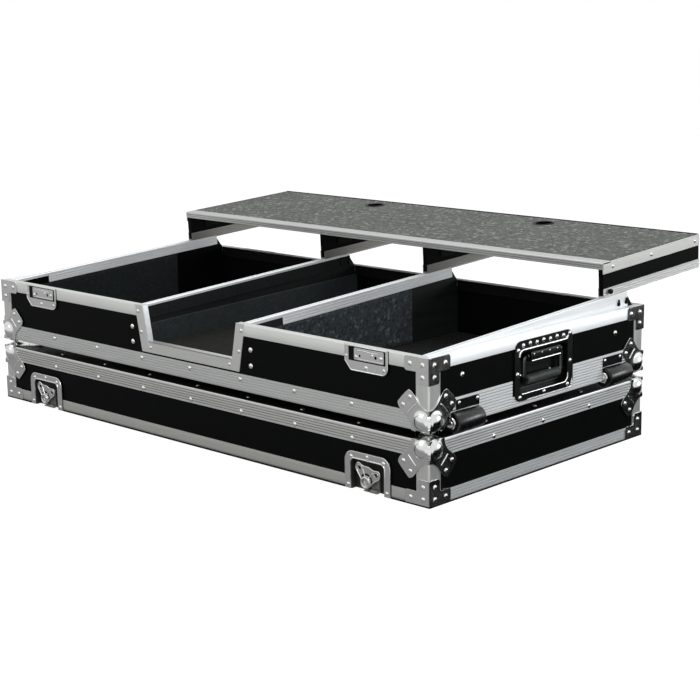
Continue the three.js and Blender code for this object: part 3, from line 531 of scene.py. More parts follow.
def carpet(name, dark, mid, light, scale=640, fleck=(0.6, 0.75), mottle=0.4):
    """Needled carpet of mixed fibres."""
    look = Look(name, mid, 0.95, specular=0.12)
    look.set("Sheen Weight", min(0.12, 0.9 * mid[0]))
    look.set("Sheen Roughness", 0.6)
    fibre = look.noise(scale, 4, 0.75)
    knots = look.noise(scale * 0.42, 3, 0.7, (1.0, 0.8, 1.0))
    fine = look.noise(scale * 2.4, 3, 0.7)
    patch = look.noise(scale * 0.05, 3, 0.6)
    seed = look.cells(scale * 0.62, "Color")
    tone = look.mixed(look.ramp(fibre, [(0.36, 0.0), (0.6, 1.0)]), dark, mid)
    tone = look.mixed(look.ramp(knots, [(fleck[0], 0.0), (fleck[1], 0.9)]), tone, light)
    tone = look.mixed(look.ramp(knots, [(0.3, 0.85), (0.42, 0.0)]), tone, dark)
    # Single fibres, picked by cell, with frayed edges
    chips = add(look.tree, "ShaderNodeSeparateColor", seed)
    fray = look.math("MULTIPLY", fine, 0.3)
    for chip, low, high, color in ((0, 0.74, 0.84, light), (1, 0.70, 0.80, dark)):
        frayed = look.math("MULTIPLY_ADD", chips.outputs[chip], 0.7, fray)
        tone = look.mixed(look.ramp(frayed, [(low, 0.0), (high, 0.75)]), tone, color)
    shade = look.ramp(patch, [(0.3, 1.0 - mottle * 0.5), (0.7, 1.0)])
    look.set("Base Color", look.mixed(1.0, tone, shade, "MULTIPLY"))
    look.bump(fibre, 0.9, 0.8)
    look.bump(knots, 1.0, 0.6)
    return look.material


def rubber(name, color, rough, shine=0.14):
    """Moulded rubber or plastic, a little worn."""
    look = Look(name, color, rough, specular=shine)
    wear = look.noise(60, 4, 0.65)
    worn = look.ramp(wear, [(0.45, 0.0), (0.75, 0.8)])
    look.set("Base Color", look.mixed(worn, color, scaled(color, 2.6)))
    look.set("Roughness", look.math("MULTIPLY_ADD", wear, 0.3, rough - 0.15))
    look.bump(look.noise(1500, 3, 0.6), 0.05, 0.5)
    return look.material


ALONG_X, ALONG_Y, ALONG_Z = range(3)
ALU_X = aluminium("aluminium_along_x", ALONG_X)
ALU_Z = aluminium("aluminium_along_z", ALONG_Z)
# A paler copy for the ends of the lid's top band: painted light on those faces.
ALU_TOP_END_PAINTED_LIGHT = aluminium("aluminium_top_end_painted_light_along_y", ALONG_Y, (0.74, 0.76, 0.77), 0.6)
ALU_BAND = aluminium("aluminium_plain_along_x", ALONG_X, (0.62, 0.62, 0.59), 0.85)
# A paler copy for the ends of the lid's rim: painted light on those faces.
ALU_RIM_END_PAINTED_LIGHT = aluminium("aluminium_rim_end_painted_light_along_y", ALONG_Y, (0.66, 0.69, 0.7), 0.55)
# A near-white copy for the rails: painted light.
ALU_RAIL_PAINTED_LIGHT = aluminium("aluminium_rail_painted_light_along_y", ALONG_Y, (0.93, 0.955, 0.98), 0.35)
ALU_TRIM = aluminium("aluminium_trim_along_x", ALONG_X, (0.54, 0.55, 0.54), 0.75)
ALU_SIDE = aluminium("aluminium_side_along_y", ALONG_Y, (0.62, 0.62, 0.605), 0.8)
# A dark copy for three of the shelf's feet: painted shade.
ALU_FOOT_PAINTED_SHADE = aluminium("aluminium_foot_painted_shade_along_y", ALONG_Y, (0.22, 0.215, 0.2), 0.95)
# A paler copy for the base bands' ends and the cut-out's jambs: painted light.
ALU_PALE_PAINTED_LIGHT = aluminium("aluminium_pale_painted_light_along_y", ALONG_Y, (0.86, 0.885, 0.9), 0.45)
# Darker copies for the bottoms of grooves and lines in them: painted shade.
ALU_GROOVE_PAINTED_SHADE = aluminium("aluminium_groove_painted_shade", ALONG_X, (0.3, 0.3, 0.29))
ALU_FAINT_GROOVE_PAINTED_SHADE = aluminium("aluminium_groove_painted_shade_faint", ALONG_Y, (0.48, 0.49, 0.49), 0.7)
ALU = [ALU_X, ALU_PALE_PAINTED_LIGHT, ALU_FAINT_GROOVE_PAINTED_SHADE]
# A near-black copy for the latches' recesses: painted shade.
RECESS_PAINTED_SHADE = aluminium("chrome_recess_painted_shade", ALONG_X, (0.032, 0.034, 0.031), 0.3)
CLAW_STEEL = aluminium("chrome_claw", ALONG_Z, (0.26, 0.26, 0.24), 0.5)
ZINC = aluminium("screw_zinc", ALONG_X, (0.85, 0.85, 0.83), 0.3)
CHROME = chrome("chrome_pressed")
WING_STEEL = chrome("chrome_wing", (0.6, 0.61, 0.6), 0.2, 0.1)
# A near-black copy of the chrome for the handles' plates, dishes and hinge covers: painted shade in the
# dishes and a painted dark reflection on the plates.
PAN_PAINTED_SHADE = chrome("chrome_pan_painted_shade", (0.03, 0.031, 0.032), 0.26, 0.12)
BAR_STEEL = chrome("chrome_bar", (0.07, 0.073, 0.074), 0.26, 0.05)
STEEL = chrome("rivet_steel", (0.66, 0.66, 0.65), 0.18, 0.0)
LAMINATE, PLYWOOD = laminate(), plywood()
SHELF_PILE = carpet(
    "carpet_grey", (0.045, 0.05, 0.046), (0.14, 0.15, 0.139), (0.34, 0.35, 0.31), 250, (0.57, 0.7), 0.35
)
WELL_PILE = carpet(
    "carpet_dark", (0.018, 0.024, 0.027), (0.062, 0.077, 0.085), (0.16, 0.19, 0.21), 300, (0.6, 0.76)
)
FLOOR_PILE = carpet(
    "carpet_floor_dark", (0.004, 0.005, 0.005), (0.010, 0.011, 0.010), (0.03, 0.033, 0.03), 420, (0.6, 0.76)
)
WELL_PLAIN = carpet(
    "lining_plain", (0.013, 0.0165, 0.018), (0.018, 0.023, 0.0245), (0.026, 0.032, 0.034), 420, (0.6, 0.76)
)
BAY_PILE = carpet("carpet_bay", (0.006, 0.0065, 0.005), (0.012, 0.013, 0.0105), (0.03, 0.032, 0.025))
BAY_WALL = carpet("lining_grey", (0.024, 0.03, 0.032), (0.036, 0.045, 0.048), (0.055, 0.066, 0.07))
WELL_FACE = carpet("lining_black", (0.011, 0.0125, 0.013), (0.017, 0.02, 0.021), (0.026, 0.03, 0.031))
STRIP_BLACK = carpet(
    "lining_deep_black", (0.002, 0.0022, 0.002), (0.004, 0.0045, 0.004), (0.008, 0.0085, 0.008)
)
GRIP = rubber("rubber_grip", (0.03, 0.036, 0.034), 0.42)
PLASTIC = rubber("plastic_black", (0.004, 0.004, 0.004), 0.4, 0.05)
TYRE = rubber("rubber_tyre", (0.0035, 0.0035, 0.004), 0.26, 0.5)


# Boards, which keep their CAD solids


def dress(look, *names):
    for name in names:
        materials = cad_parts[name].data.materials
        materials.clear()
        materials.append(look)


dress(LAMINATE, *[f"{half}_{side}_board" for half in ("lid", "base") for side in ("front", "rear", *ENDS)])
dress(LAMINATE, "lid_top_board", "shelf_board")
dress(PLYWOOD, "base_floor_board", "divider_left", "divider_right")


# Aluminium bands, ribbed along their length


def top_angle(leg, grooves, high):
    """The section of the angle round the lid's top, as (inset, height)."""
    low = high - leg
    return [*ribbed(low, high - 1.0, grooves), (0.6, high), (leg, high), (leg, high - BAND),
            (BAND, high - BAND), (BAND, low)]


def channel(side_leg, grooves, hung_from=None):
    """The section of the channel over a rim, standing on z = 0 or hanging from a height."""
    outer = ribbed(1.0, side_leg, grooves, 1.4) if grooves else [(0, 1.0), (0, side_leg)]
    points = [(0.6, 0), *outer, (BAND, side_leg), (BAND, BAND), (SKIN, BAND), (SKIN, 12.0),
              (RIM_DEPTH, 12.0), (RIM_DEPTH, 0.6), (RIM_DEPTH - 0.6, 0)]
    return [(d, hung_from - z) for d, z in points] if hung_from else points


def bottom_section(side_leg, grooves):
    """The section of the angle round the base's bottom."""
    return [(27, 0), (0.6, 0), *ribbed(1.0, side_leg, grooves), (BAND, side_leg), (BAND, BAND), (27, BAND)]


bm = bmesh.new()
sweep(bm, MITRES, top_angle(27, 5, LID_H), closed=True)
piece("lid_top_band", "lid", bm, [ALU_X, ALU_TOP_END_PAINTED_LIGHT, ALU_GROOVE_PAINTED_SHADE], LID, ("lid_top_frame",), 0.25)


def corner_posts(name, body, matrix, low, high):
    """Upright angles with a rounded edge at the four corners."""
    bm = bmesh.new()
    leg, t = 26.0, BAND
    section = [(0, 0), (leg, 0), (leg, t), (t, t), (t, leg), (0, leg)]
    outline = fillet(section, [4.5, 0.5, 0.3, 1.2, 0.3, 0.5], 6)
    for side_x, side_y in CORNERS.values():
        part = bmesh.new()
        slab(part, "z", outline, low, high)
        join(bm, part, at_corner(side_x, side_y, 0, 1))
    piece(name, body, bm, ALU_Z, matrix)


corner_posts("lid_corner_posts", "lid", LID, 2.0, LID_H - 1.0)
corner_posts("base_corner_posts", "base", BASE, 1.0, BASE_H - 2.0)

# The lid's rim: ribbed at the ends, plain at the front and rear, and open at the latches
LATCH_GAP = 35.8
bm = bmesh.new()
for side in SIDES:
    sweep(bm, [(side * RIGHT, 0, -side, 1), (side * RIGHT, BACK, -side, -1)], channel(21.0, 3))
for y, out in WALLS:
    for side in SIDES:
        past = side * (LATCH_X + LATCH_GAP)
        sweep(bm, [(past, y, 0, -out), (side * RIGHT, y, -side, -out)], channel(21.0, 0))
    sweep(bm, [(side * (LATCH_X - LATCH_GAP), y, 0, -out) for side in SIDES], channel(21.0, 0))
piece("lid_rim_band", "lid", bm, [ALU_BAND, ALU_RIM_END_PAINTED_LIGHT, ALU_FAINT_GROOVE_PAINTED_SHADE], LID, ("lid_rim_frame",), 0.25)

# A dark strip under the lid's rim: painted contact shadow where the case meets the floor
bm = bmesh.new()
high, proud, deep, gap = 2.4, 1.25, 3.0, 49.0
for y0, y1 in ((-proud, deep), (BACK - deep, BACK + proud)):
    box(bm, gap - LATCH_X, LATCH_X - gap, y0, y1, 0.0, high)
    for side in SIDES:
        box(bm, side * (LATCH_X + gap), side * (RIGHT + proud), y0, y1, 0.0, high)
for side in SIDES:
    box(bm, side * (RIGHT - deep), side * (RIGHT + proud), deep, BACK - deep, 0.0, high)
piece("lid_edge_painted_shadow", "lid", bm, PLASTIC, LID)

bm = bmesh.new()
path = [(CUT_HIGH, 0, 0, 1), *MITRES[1:], MITRES[0], (-CUT_HIGH, 0, 0, 1)]
sweep(bm, path, channel(20.0, 0, BASE_H))
piece("base_rim_band", "base", bm, ALU, BASE, ("base_rim_frame",), bevel=0.35)

# A thin black layer on the lid's top angle: painted shade in the gap under the base
bm = bmesh.new()
sweep(bm, MITRES, rect(1.6, 26.6, LID_H - 0.1, LID_H + 0.3), closed=True)
piece("lid_top_painted_shade", "lid", bm, [PLASTIC, PLASTIC], LID)

# The base's lower band: low at the front and rear, tall at the ends, and low under the handles. The
# right end leaves room for the rollers.
HANDLE_GAP, ROLLER_GAP = 79.0, 48.0
bm = bmesh.new()
for y, out in WALLS:
    sweep(bm, [(-RIGHT, y, 1, -out), (RIGHT, y, -1, -out)], bottom_section(28.5, 5))
for side, start in ((-1, 0.0), (1, ROLLER_GAP)):
    near, far = HANDLE_Y - HANDLE_GAP, HANDLE_Y + HANDLE_GAP
    for y0, y1, high, grooves in ((start, near, 43.0, 8), (far, BACK - start, 43.0, 8), (near, far, 17.0, 3)):
        sweep(bm, [(side * RIGHT, y, -side, 0) for y in (y0, y1)], bottom_section(high, grooves))
piece("base_bottom_band", "base", bm, ALU, BASE, ("base_bottom_frame",), bevel=0.25)


# Trims round the front cut-out


def cut_edge(z):
    """Half the width of the front cut-out at a height over the base's underside."""
    return CUT_LOW + (CUT_HIGH - CUT_LOW) * (z - SILL) / (BASE_H - SILL)


def upright(side, low, wide):
    """A strip up one slanting edge of the cut-out."""
    foot, head = cut_edge(low), cut_edge(BASE_H)
    points = [(foot, low), (foot + wide, low), (head + wide, BASE_H), (head, BASE_H)]
    return [(side * a, b) for a, b in points]


bm, jambs = bmesh.new(), bmesh.new()
low, t, through = SILL - 20.0, BAND, SKIN + 1.0
for side in SIDES:
    slab(bm, "y", upright(side, low, 21), -0.05, t)
    slab(jambs, "y", upright(side, SILL, t), 0.0, through)
foot, half = cut_edge(low), cut_edge(SILL)
slab(bm, "y", [(-foot, low), (foot, low), (half, SILL), (-half, SILL)], 0.0, t)
slab(bm, "y", rect(-half, half, SILL - t, SILL), 0.0, through)
piece("base_cutout_trims", "base", bm, ALU_X, BASE, bevel=0.5)
# The jambs take a paler copy of the aluminium: painted light.
piece("base_cutout_jambs", "base", jambs, ALU_PALE_PAINTED_LIGHT, BASE, bevel=0.4)


# Rivets

RIVET_PITCH, END_PITCH, TOP_RIVET_INSET = 127.0, 125.0, 18.0
LID_RIVET_Z, BASE_RIVET_Z, DIVIDER_X = 81.5, 19.5, 152.0
lid_heads, base_heads, shelf_heads = bmesh.new(), bmesh.new(), bmesh.new()
for x in (RIVET_PITCH * k for k in range(-3, 4)):
    for y, out in WALLS:
        dome(lid_heads, (x, y, LID_RIVET_Z), (0, out, 0))
        dome(base_heads, (x, y, BASE_RIVET_Z), (0, out, 0))
        dome(lid_heads, (x, y - out * TOP_RIVET_INSET, LID_H), (0, 0, 1))
for side in SIDES:
    out = (side, 0, 0)
    for y in (HANDLE_Y - END_PITCH, HANDLE_Y, HANDLE_Y + END_PITCH):
        dome(lid_heads, (side * RIGHT, y, LID_RIVET_Z), out)
        dome(lid_heads, (side * (RIGHT - TOP_RIVET_INSET), y, LID_H), (0, 0, 1))
    # Heads that hold the dividers, the cut-out's trims and the boards under the outer rails
    for z in (45, 72):
        dome(base_heads, (side * DIVIDER_X, BAND, z), (0, -1, 0), 1.15)
    for z in (66, 102):
        dome(base_heads, (side * (cut_edge(z) + 15), 0, z), (0, -1, 0), 0.85)
    dome(base_heads, (side * (cut_edge(40) - 4), 0, 41), (0, -1, 0), 0.8)
    for y in (79, BACK - 79):
        dome(base_heads, (side * (RIGHT - BAND), y, 76), out, 1.1)


def corner_studs(heads, put, proud, spots, side_x, side_y, share=1.0):
    """Rivets on both upright faces of a corner's fitting."""
    for a, b in spots:
        dome(heads, put @ Vector((-proud, a, b)), (side_x, 0, 0), share)
        dome(heads, put @ Vector((a, -proud, b)), (0, side_y, 0), share)


# Corner braces: pressed angles over the rims' corners

BRACE_T, BRACE_LONG, BRACE_HIGH, BRACE_WIDE = 1.2, 48.0, 42.0, 23.0
mid = BRACE_WIDE / 2
BRACE_HEADS = [(mid, mid), (BRACE_LONG - mid, mid), (mid, BRACE_HIGH - mid)]
outline = [(-BRACE_T, 0), (BRACE_LONG, 0), (BRACE_LONG, BRACE_WIDE), (BRACE_WIDE, BRACE_WIDE),
           (BRACE_WIDE, BRACE_HIGH), (-BRACE_T, BRACE_HIGH)]
soft = fillet(outline, [0.2, 5, 5, 3, 5, 1.0])
HALVES = (("lid", LID, 0, 1, lid_heads), ("base", BASE, BASE_H, -1, base_heads))
for body, matrix, z, up, heads in HALVES:
    bm = bmesh.new()
    for side_x, side_y in CORNERS.values():
        part, put = bmesh.new(), at_corner(side_x, side_y, z, up)
        for axis in "xy":
            slab(part, axis, soft, -BRACE_T, 0)
        join(bm, part, put)
        corner_studs(heads, put, BRACE_T, BRACE_HEADS, side_x, side_y)
    piece(f"{body}_corner_braces", body, bm, CHROME, matrix, bevel=0.4)


# Ball corners

REACH, EDGE, FLANGE_T = 61.0, 34.0, 1.5
LOBE = [(0.59, 0.16), (0.69, 0.3), (0.85, 0.42), (0.96, 0.52), (1.0, 0.61), (0.98, 0.69)]
BALL_INSET, BALL_RADIUS, BALL_OPENING = 14.5, 21.5, 27.0


def flange_outline():
    """A lobed flange, open on the side of the ball."""
    t, c, near = FLANGE_T, BALL_INSET, BALL_OPENING
    half = [(EDGE, -t), (EDGE + 0.3, 3.5), *[(a * REACH, b * REACH) for a, b in LOBE]]
    outline = curve([*half, *[(b, a) for a, b in reversed(half)]])
    start, end = math.atan2(near - c, -t - c), math.atan2(-t - c, near - c)
    arc = [start + (end - start) * k / 16 for k in range(1, 16)]
    hollow = [(c + 13.6 * math.cos(w), c + 13.6 * math.sin(w)) for w in arc]
    return [*outline, (-t, near), *hollow, (near, -t)]


@drawing
def ball_corner(part):
    """A ball with a flange on each face, drawn about a corner at the origin."""
    ball = bmesh.new()
    t, c = FLANGE_T, BALL_INSET
    for axis in "xyz":
        slab(part, axis, flange_outline(), -t, 0)
        # A pressed rib across the lobe, between the ball and the rivets
        rib = ((25.5, 40.5), (30.0, 36.5), (36.5, 30.0), (40.5, 25.5))
        tube(part, [spot(axis, a, b, -t + 0.2) for a, b in rib], 1.2, 8)
    bmesh.ops.create_uvsphere(ball, u_segments=48, v_segments=28, radius=BALL_RADIUS)
    bmesh.ops.translate(ball, verts=ball.verts, vec=(c, c, c))
    hidden = [f for f in ball.faces if min(f.calc_center_median()) > 1.5]
    bmesh.ops.delete(ball, geom=hidden, context="FACES")
    join(part, ball)
    box(part, -t, 5, -t, 5, -t, 5)
    # The metal draws up into the ball over a small radius
    profile = [(11.3, 4.3), (12.7, 3.35), (14.2, 2.55), (16.0, 1.95), (18.0, 1.6), (20.5, 1.5), (20.5, 0.4)]
    for axis in "xyz":
        collar = bmesh.new()
        lathe(collar, profile, 48, toward(spot(axis, c, c, 0), spot(axis, 0, 0, -1)))
        for other in "xyz".replace(axis, ""):
            geom = [*collar.verts, *collar.edges, *collar.faces]
            plane = spot(other, 0, 0, 1)
            bmesh.ops.bisect_plane(collar, geom=geom, plane_co=plane, plane_no=plane, clear_inner=True)
        join(part, collar)


for body, matrix, z, up, heads in (("lid", LID, LID_H, -1, lid_heads), ("base", BASE, 0, 1, base_heads)):
    for corner, (side_x, side_y) in CORNERS.items():
        put = at_corner(side_x, side_y, z, up)
        made, node = f"{body}_chrome_ball_{corner}", f"{body}_ball_corner_{corner}"
        piece(made, body, ball_corner(put), CHROME, matrix, (node,), 0.35, 40)
        spots = ((36.6, 50.6), (50.6, 36.6))
        corner_studs(heads, put, FLANGE_T, spots, side_x, side_y, 0.95)


# Catch plates on the base's rim, drawn about the middle of the latch on the front face

CATCH_HALF, CATCH_LOW, CATCH_T, STRAP_T = 45.0, BASE_H - 40.0, 1.5, 3.4
BAR_Z = CATCH_LOW + 17.5


def catch_outline(grow, chamfer):
    """The plate's outline, grown by an amount. The chamfer's upper end lies a height over its foot."""
    half, low = CATCH_HALF + grow, CATCH_LOW - grow
    return [(-half, BASE_H), (-half, CATCH_LOW + chamfer), (13 - CATCH_HALF - 0.4 * grow, low), (half, low),
            (half, BASE_H)]


@drawing
def catch_plate(part):
    t, half, top = CATCH_T, CATCH_HALF, BASE_H
    slot = fillet(rect(-36.5, 40.6, BAR_Z - 1.8, BAR_Z + 20.6), 1.5, 3)
    slab(part, "y", fillet(catch_outline(0, 14), [1.5, 4, 5, 12, 1.5], 7), -t, 0, [slot])
    # A rolled lower edge
    inside = [(0.9 - half, top - 1), (0.9 - half, CATCH_LOW + 14.4), (13.4 - half, CATCH_LOW + 0.9),
              (half - 0.9, CATCH_LOW + 0.9), (half - 0.9, top - 1)]
    tube(part, on(0.1 - t, fillet(inside, [0, 3.6, 4.6, 11.2, 0], 7)), 0.8, 8)
    tube(part, on(0.1 - t, [(2 - half, top - 0.9), (half - 2, top - 0.9)]), 0.7, 8)
    # The strap that the hook catches, pressed proud of the plate
    strap = fillet(rect(-23, 38.8, BAR_Z + 0.8, BAR_Z + 19.8), [2.5, 2, 2, 2.5], 4)
    slab(part, "y", strap, -STRAP_T, -0.4, [disc(-11, BAR_Z + 8.0, 2.0, 12), disc(22, BAR_Z + 9.0, 2.6, 12)])
    upper = [(-16, BAR_Z + 15.6), (-2, BAR_Z + 16.2), (12, BAR_Z + 15.0), (26, BAR_Z + 15.4)]
    tube(part, on(-3.2, upper), 0.9, 6)
    tube(part, on(-3.2, [(-20, BAR_Z + 2.2), (36, BAR_Z + 2.2)]), 0.8, 6)


@drawing
def catch_shade_sheet(part):
    """A dark sheet behind the strap and a dark line round the plate: painted shade in the gap and along the
    plate's edge.
    """
    slab(part, "y", fillet(rect(-36.4, 40.5, BAR_Z - 1.7, BAR_Z + 20.5), 1.5, 3), -0.35, -0.05)
    slab(part, "y", fillet(catch_outline(1, 13.6), [0.5, 5, 6, 13, 0.5], 6), -0.3, -0.05)


# Rivets of the catch plates: along, up, proud of the face, and size
CATCH_HEADS = (
    (0.0, CATCH_LOW + 7.5, CATCH_T, 0.85), (-18.5, BAR_Z + 5.5, STRAP_T, 0.75),
    (15.0, BAR_Z + 11.5, STRAP_T, 0.6), (33.0, BAR_Z + 9.0, STRAP_T, 0.8),
    (-41.0, CATCH_LOW + 22, CATCH_T, 0.6), (37.0, CATCH_LOW + 8.5, CATCH_T, 0.7),
)
for corner, (x, side) in LATCHES.items():
    put = on_face(x, side)
    piece(f"catch_plate_{corner}", "base", catch_plate(put), CHROME, BASE, bevel=0.4)
    # A dark sheet behind the strap and round the catch plate: painted shade.
    piece(f"catch_shade_sheet_{corner}", "base", catch_shade_sheet(put), PLASTIC, BASE)
    for a, b, proud, share in CATCH_HEADS:
        dome(base_heads, put @ Vector((a, -proud, b)), (0, side, 0), share)


# Twist latches, drawn about the middle of the lid's rim on the front face

WING = [(0.3, -0.2), (0.52, 0.1), (0.98, 0.55), (1.0, 0.8), (0.86, 0.98), (0.45, 0.9), (0.0, 0.96)]
WING_HALF, WING_REACH, SPINDLE_Z, WING_TILT = 26.0, 27.0, 17.0, math.radians(11)
LATCH_HEADS = ((-41, 6), (41, 6), (-34, 52.5), (0, 56.2), (34, 52.5))


def wing_outline(share):
    right_side = [(a * WING_HALF, b * WING_REACH) for a, b in WING]
    points = right_side + [(-a, b) for a, b in reversed(right_side[:-1])]
    middle = Vector((0, 0.42 * WING_REACH))
    return curve([tuple(middle + (Vector(p) - middle) * share) for p in points], closed=True)


def open_arch(half, top):
    """Three sides of a recess that is open below."""
    return [(-half, 0.8), (-half, top), (half, top), (half, 0.8)]


def arch(grow, inner, top, rounding):
    """The plate's outline round the recess, grown by an amount."""
    half, high = 48 + grow, 62 + grow
    points = [(-half, 0), (-inner, 0), (-inner, top), (inner, top), (inner, 0), (half, 0), (half, high),
              (-half, high)]
    return fillet(points, [0.8, 0.3, 8, 8, 0.3, 0.8, rounding, rounding], 7)


@drawing
def latch_flange(part):
    """The arched plate round the recess, with a rolled inner and outer edge."""
    slab(part, "y", arch(0, 35.5, 50, 17), -1.5, 0)
    tube(part, on(-1.45, fillet(open_arch(36.4, 50.9), [0, 8.5, 8.5, 0], 6)), 1.15, 8)
    tube(part, on(-1.3, fillet(open_arch(47.1, 61.1), [0, 16.2, 16.2, 0], 7)), 0.8, 8)


@drawing
def latch_shadow_outline(part):
    """A dark outline round the plate: painted shade along its edge."""
    slab(part, "y", arch(1, 36, 50.5, 18), -0.3, -0.05)


@drawing
def latch_pan(part):
    """The recess behind the plate, open below."""
    outer = fillet([(-35.5, 0), (-35.5, 51.5), (35.5, 51.5), (35.5, 0)], [0, 9, 9, 0], 6)
    inner = fillet([(-34, 0), (-34, 50), (34, 50), (34, 0)], [0, 8, 8, 0], 6)
    slab(part, "y", [*outer, *reversed(inner)], 0.0, 9.2)
    slab(part, "y", outer, 9.2, 10.7)


@drawing
def latch_wing(part):
    """The butterfly, with its rolled edge, eyes, pressed ribs and boss."""
    back, front = -2.5, -4.0
    eyes = [(side * 0.68 * WING_HALF, 0.68 * WING_REACH) for side in SIDES]
    slab(part, "y", wing_outline(0.97), front, back, [disc(*eye, 3.4, 16) for eye in eyes])
    tube(part, on(front + 0.1, wing_outline(0.955)), 0.95, 8, closed=True)
    for side, eye in zip(SIDES, eyes):
        tube(part, on(front + 0.05, disc(*eye, 4.0, 16)), 0.6, 6, closed=True)
        rib = [(side * 3.5, front, 8.0), (side * 8.0, front - 0.2, 14.0), (side * 11.5, front, 19.5)]
        tube(part, rib, 1.2, 8)
    profile = [(0, 4.6), (1.6, 4.6), (2.2, 6.2), (4.6, 6.4), (5.1, 4.8), (6.0, 4.8), (6.6, 7.5), (7.8, 8.0),
               (9.2, 7.5), (10.0, 6.2), (10.0, 2.5), (4.0, 2.5), (4.0, -8.7), (0, -8.7)]
    lathe(part, profile, 32, toward((0, 0, 0), (0, -1, 0)))


@drawing
def latch_shade(part):
    """A dark crescent on the wing above its boss, where a slot opens: painted shade in the slot."""
    angles = [math.radians(d) for d in range(0, 153, 8)]
    outer = [(13.4 * math.cos(w), 0.8 + 13.4 * math.sin(w)) for w in angles]
    inner = [(10.3 * math.cos(w), 0.6 + 10.3 * math.sin(w)) for w in reversed(angles)]
    slab(part, "y", [*outer, *inner], -4.12, -3.6)


@drawing
def latch_hook(part):
    """The claw that the spindle draws, with a slot round the spindle and a lip turned up beside it."""
    slot = 4.3
    hole = fillet(rect(-slot, slot, SPINDLE_Z - slot - 10, SPINDLE_Z + slot), 3.6, 4)
    slab(part, "y", fillet(rect(-8, 20, 1, 35.6), [1.5, 1.5, 5, 5], 4), 4.0, 7.0, [hole])
    slab(part, "x", fillet(rect(-2.0, 5.0, 1.0, 2.8), [0.8, 0.3, 0.3, 0.8], 3), -8, 20)
    section = [(-2.1, 0.9), (4.0, 0.9), (4.0, 3.4), (0.2, 3.4), (0.0, 6.2), (-2.1, 6.2)]
    slab(part, "x", fillet(section, [0.9, 0.3, 0.3, 0.8, 0.5, 0.9], 3), 6.0, 20.1)


turned = shifted(0, 0, SPINDLE_Z) @ Matrix.Rotation(WING_TILT, 4, "Y")
for corner, (x, side) in LATCHES.items():
    put = on_face(x, side)
    for label, draw, spun, body, look, node, edge in (
        ("plate", latch_flange, False, "lid", CHROME, "dish", 0.0),
        # The pan's near-black look paints the shade in the recess.
        ("pan", latch_pan, False, "lid", RECESS_PAINTED_SHADE, None, 0.0),
        # A dark outline round the plate: painted shade along its edge.
        ("shadow_outline", latch_shadow_outline, False, "lid", PLASTIC, None, 0.0),
        ("butterfly", latch_wing, True, f"wing_{corner}", WING_STEEL, "wing", 0.25),
        ("slot", latch_shade, True, f"wing_{corner}", PLASTIC, None, 0.0),
        ("claw", latch_hook, False, f"hook_{corner}", CLAW_STEEL, "hook", 0.3),
    ):
        bm = draw(put @ turned if spun else put)
        stands = (f"latch_{node}_{corner}",) if node else ()
        piece(f"latch_{label}_{corner}", body, bm, look, LID, stands, edge)
    for a, b in LATCH_HEADS:
        dome(lid_heads, put @ Vector((a, -1.5, b)), (0, side, 0), 0.85)


# Carrying handles, drawn on the right end

HINGE_X, DISH_X = RIGHT - 3.0, RIGHT - 11.5


def about(x, points):
    """Points round the middle of the handle's dish, at a place along x."""
    return at(x, [(HANDLE_Y + a, HANDLE_Z + b) for a, b in points])


def window(half, low, high):
    """An outline round the middle of the handle's dish."""
    return rect(HANDLE_Y - half, HANDLE_Y + half, HANDLE_Z + low, HANDLE_Z + high)


@drawing
def handle_flange(part):
    """The plate round the dish."""
    opening = fillet(window(62, -33, 37), 9, 7)
    slab(part, "x", fillet(window(75, -45, 52.5), 15, 7), RIGHT, RIGHT + 1.2, [opening])


@drawing
def handle_beads(part):
    """Rolled edges over and under the opening, and along the foot of the hinge cover."""
    over = [(-64.5, 27.5), (-62.5, 33.5), (-57.0, 36.8), (-50.0, 37.6), (50.0, 37.6), (57.0, 39.0),
            (62.0, 42.5)]
    under = [(-58.0, -33.2), (-48.0, -33.6), (46.0, -33.6), (56.0, -32.0), (61.5, -27.0), (62.6, -19.0)]
    lip = [(-44, -44.0), (61, -44.0), (70.5, -40.0), (74.2, -30.0)]
    tube(part, about(RIGHT + 1.6, curve(over)), 1.9, 10)
    tube(part, about(RIGHT + 1.4, curve(under)), 1.4, 10)
    foot = [(HANDLE_Y - 37.5, HINGE_Z - 6.6), (HANDLE_Y + 37.5, HINGE_Z - 6.6)]
    tube(part, at(RIGHT + 4.4, foot), 1.5, 10)
    tube(part, about(RIGHT + 0.9, curve(lip)), 0.8, 8)


@drawing
def handle_pan(part):
    """The dish let into the end board, with a shallow pressed panel in its bottom."""
    wall = fillet(window(63.5, -34.5, 34.5), 10, 7)
    slab(part, "x", wall, DISH_X, RIGHT + 0.2, [fillet(window(62, -33, 33), 9, 7)])
    slab(part, "x", wall, DISH_X - 1.5, DISH_X)
    tube(part, at(DISH_X + 0.1, fillet(window(52, -28, 8), 6)), 0.9, 8, closed=True)


@drawing
def handle_cover(part):
    """The sheet bent over the hinge, between two lugs."""
    z, t, half = HINGE_Z, 1.2, 7.8
    front, floor = HINGE_X + half, DISH_X
    low, high = z - half, z + half
    outline = [(floor, high), (front, high), (front, low), (floor, low), (floor, low + t),
               (front - t, low + t), (front - t, high - t), (floor, high - t)]
    soft = fillet(outline, [0.2, 3.0, 3.0, 0.2, 0.2, 1.9, 1.9, 0.2])
    slab(part, "y", soft, HANDLE_Y - 38, HANDLE_Y + 38)
    for end in SIDES:
        lug = fillet(rect(floor, RIGHT + 3.5, z - 6, z + 6), [0.2, 5.5, 5.5, 0.2], 6)
        slab(part, "y", lug, HANDLE_Y + end * 41, HANDLE_Y + end * 44, [disc(HINGE_X, z, 3.8, 16)])


@drawing
def handle_bail(part):
    """The bent bar."""
    loop = fillet(rect(HANDLE_Y - 48, HANDLE_Y + 48, GRIP_Z, HINGE_Z), 7.5, 7)
    tube(part, at(HINGE_X, loop), 3.5, 14, closed=True)


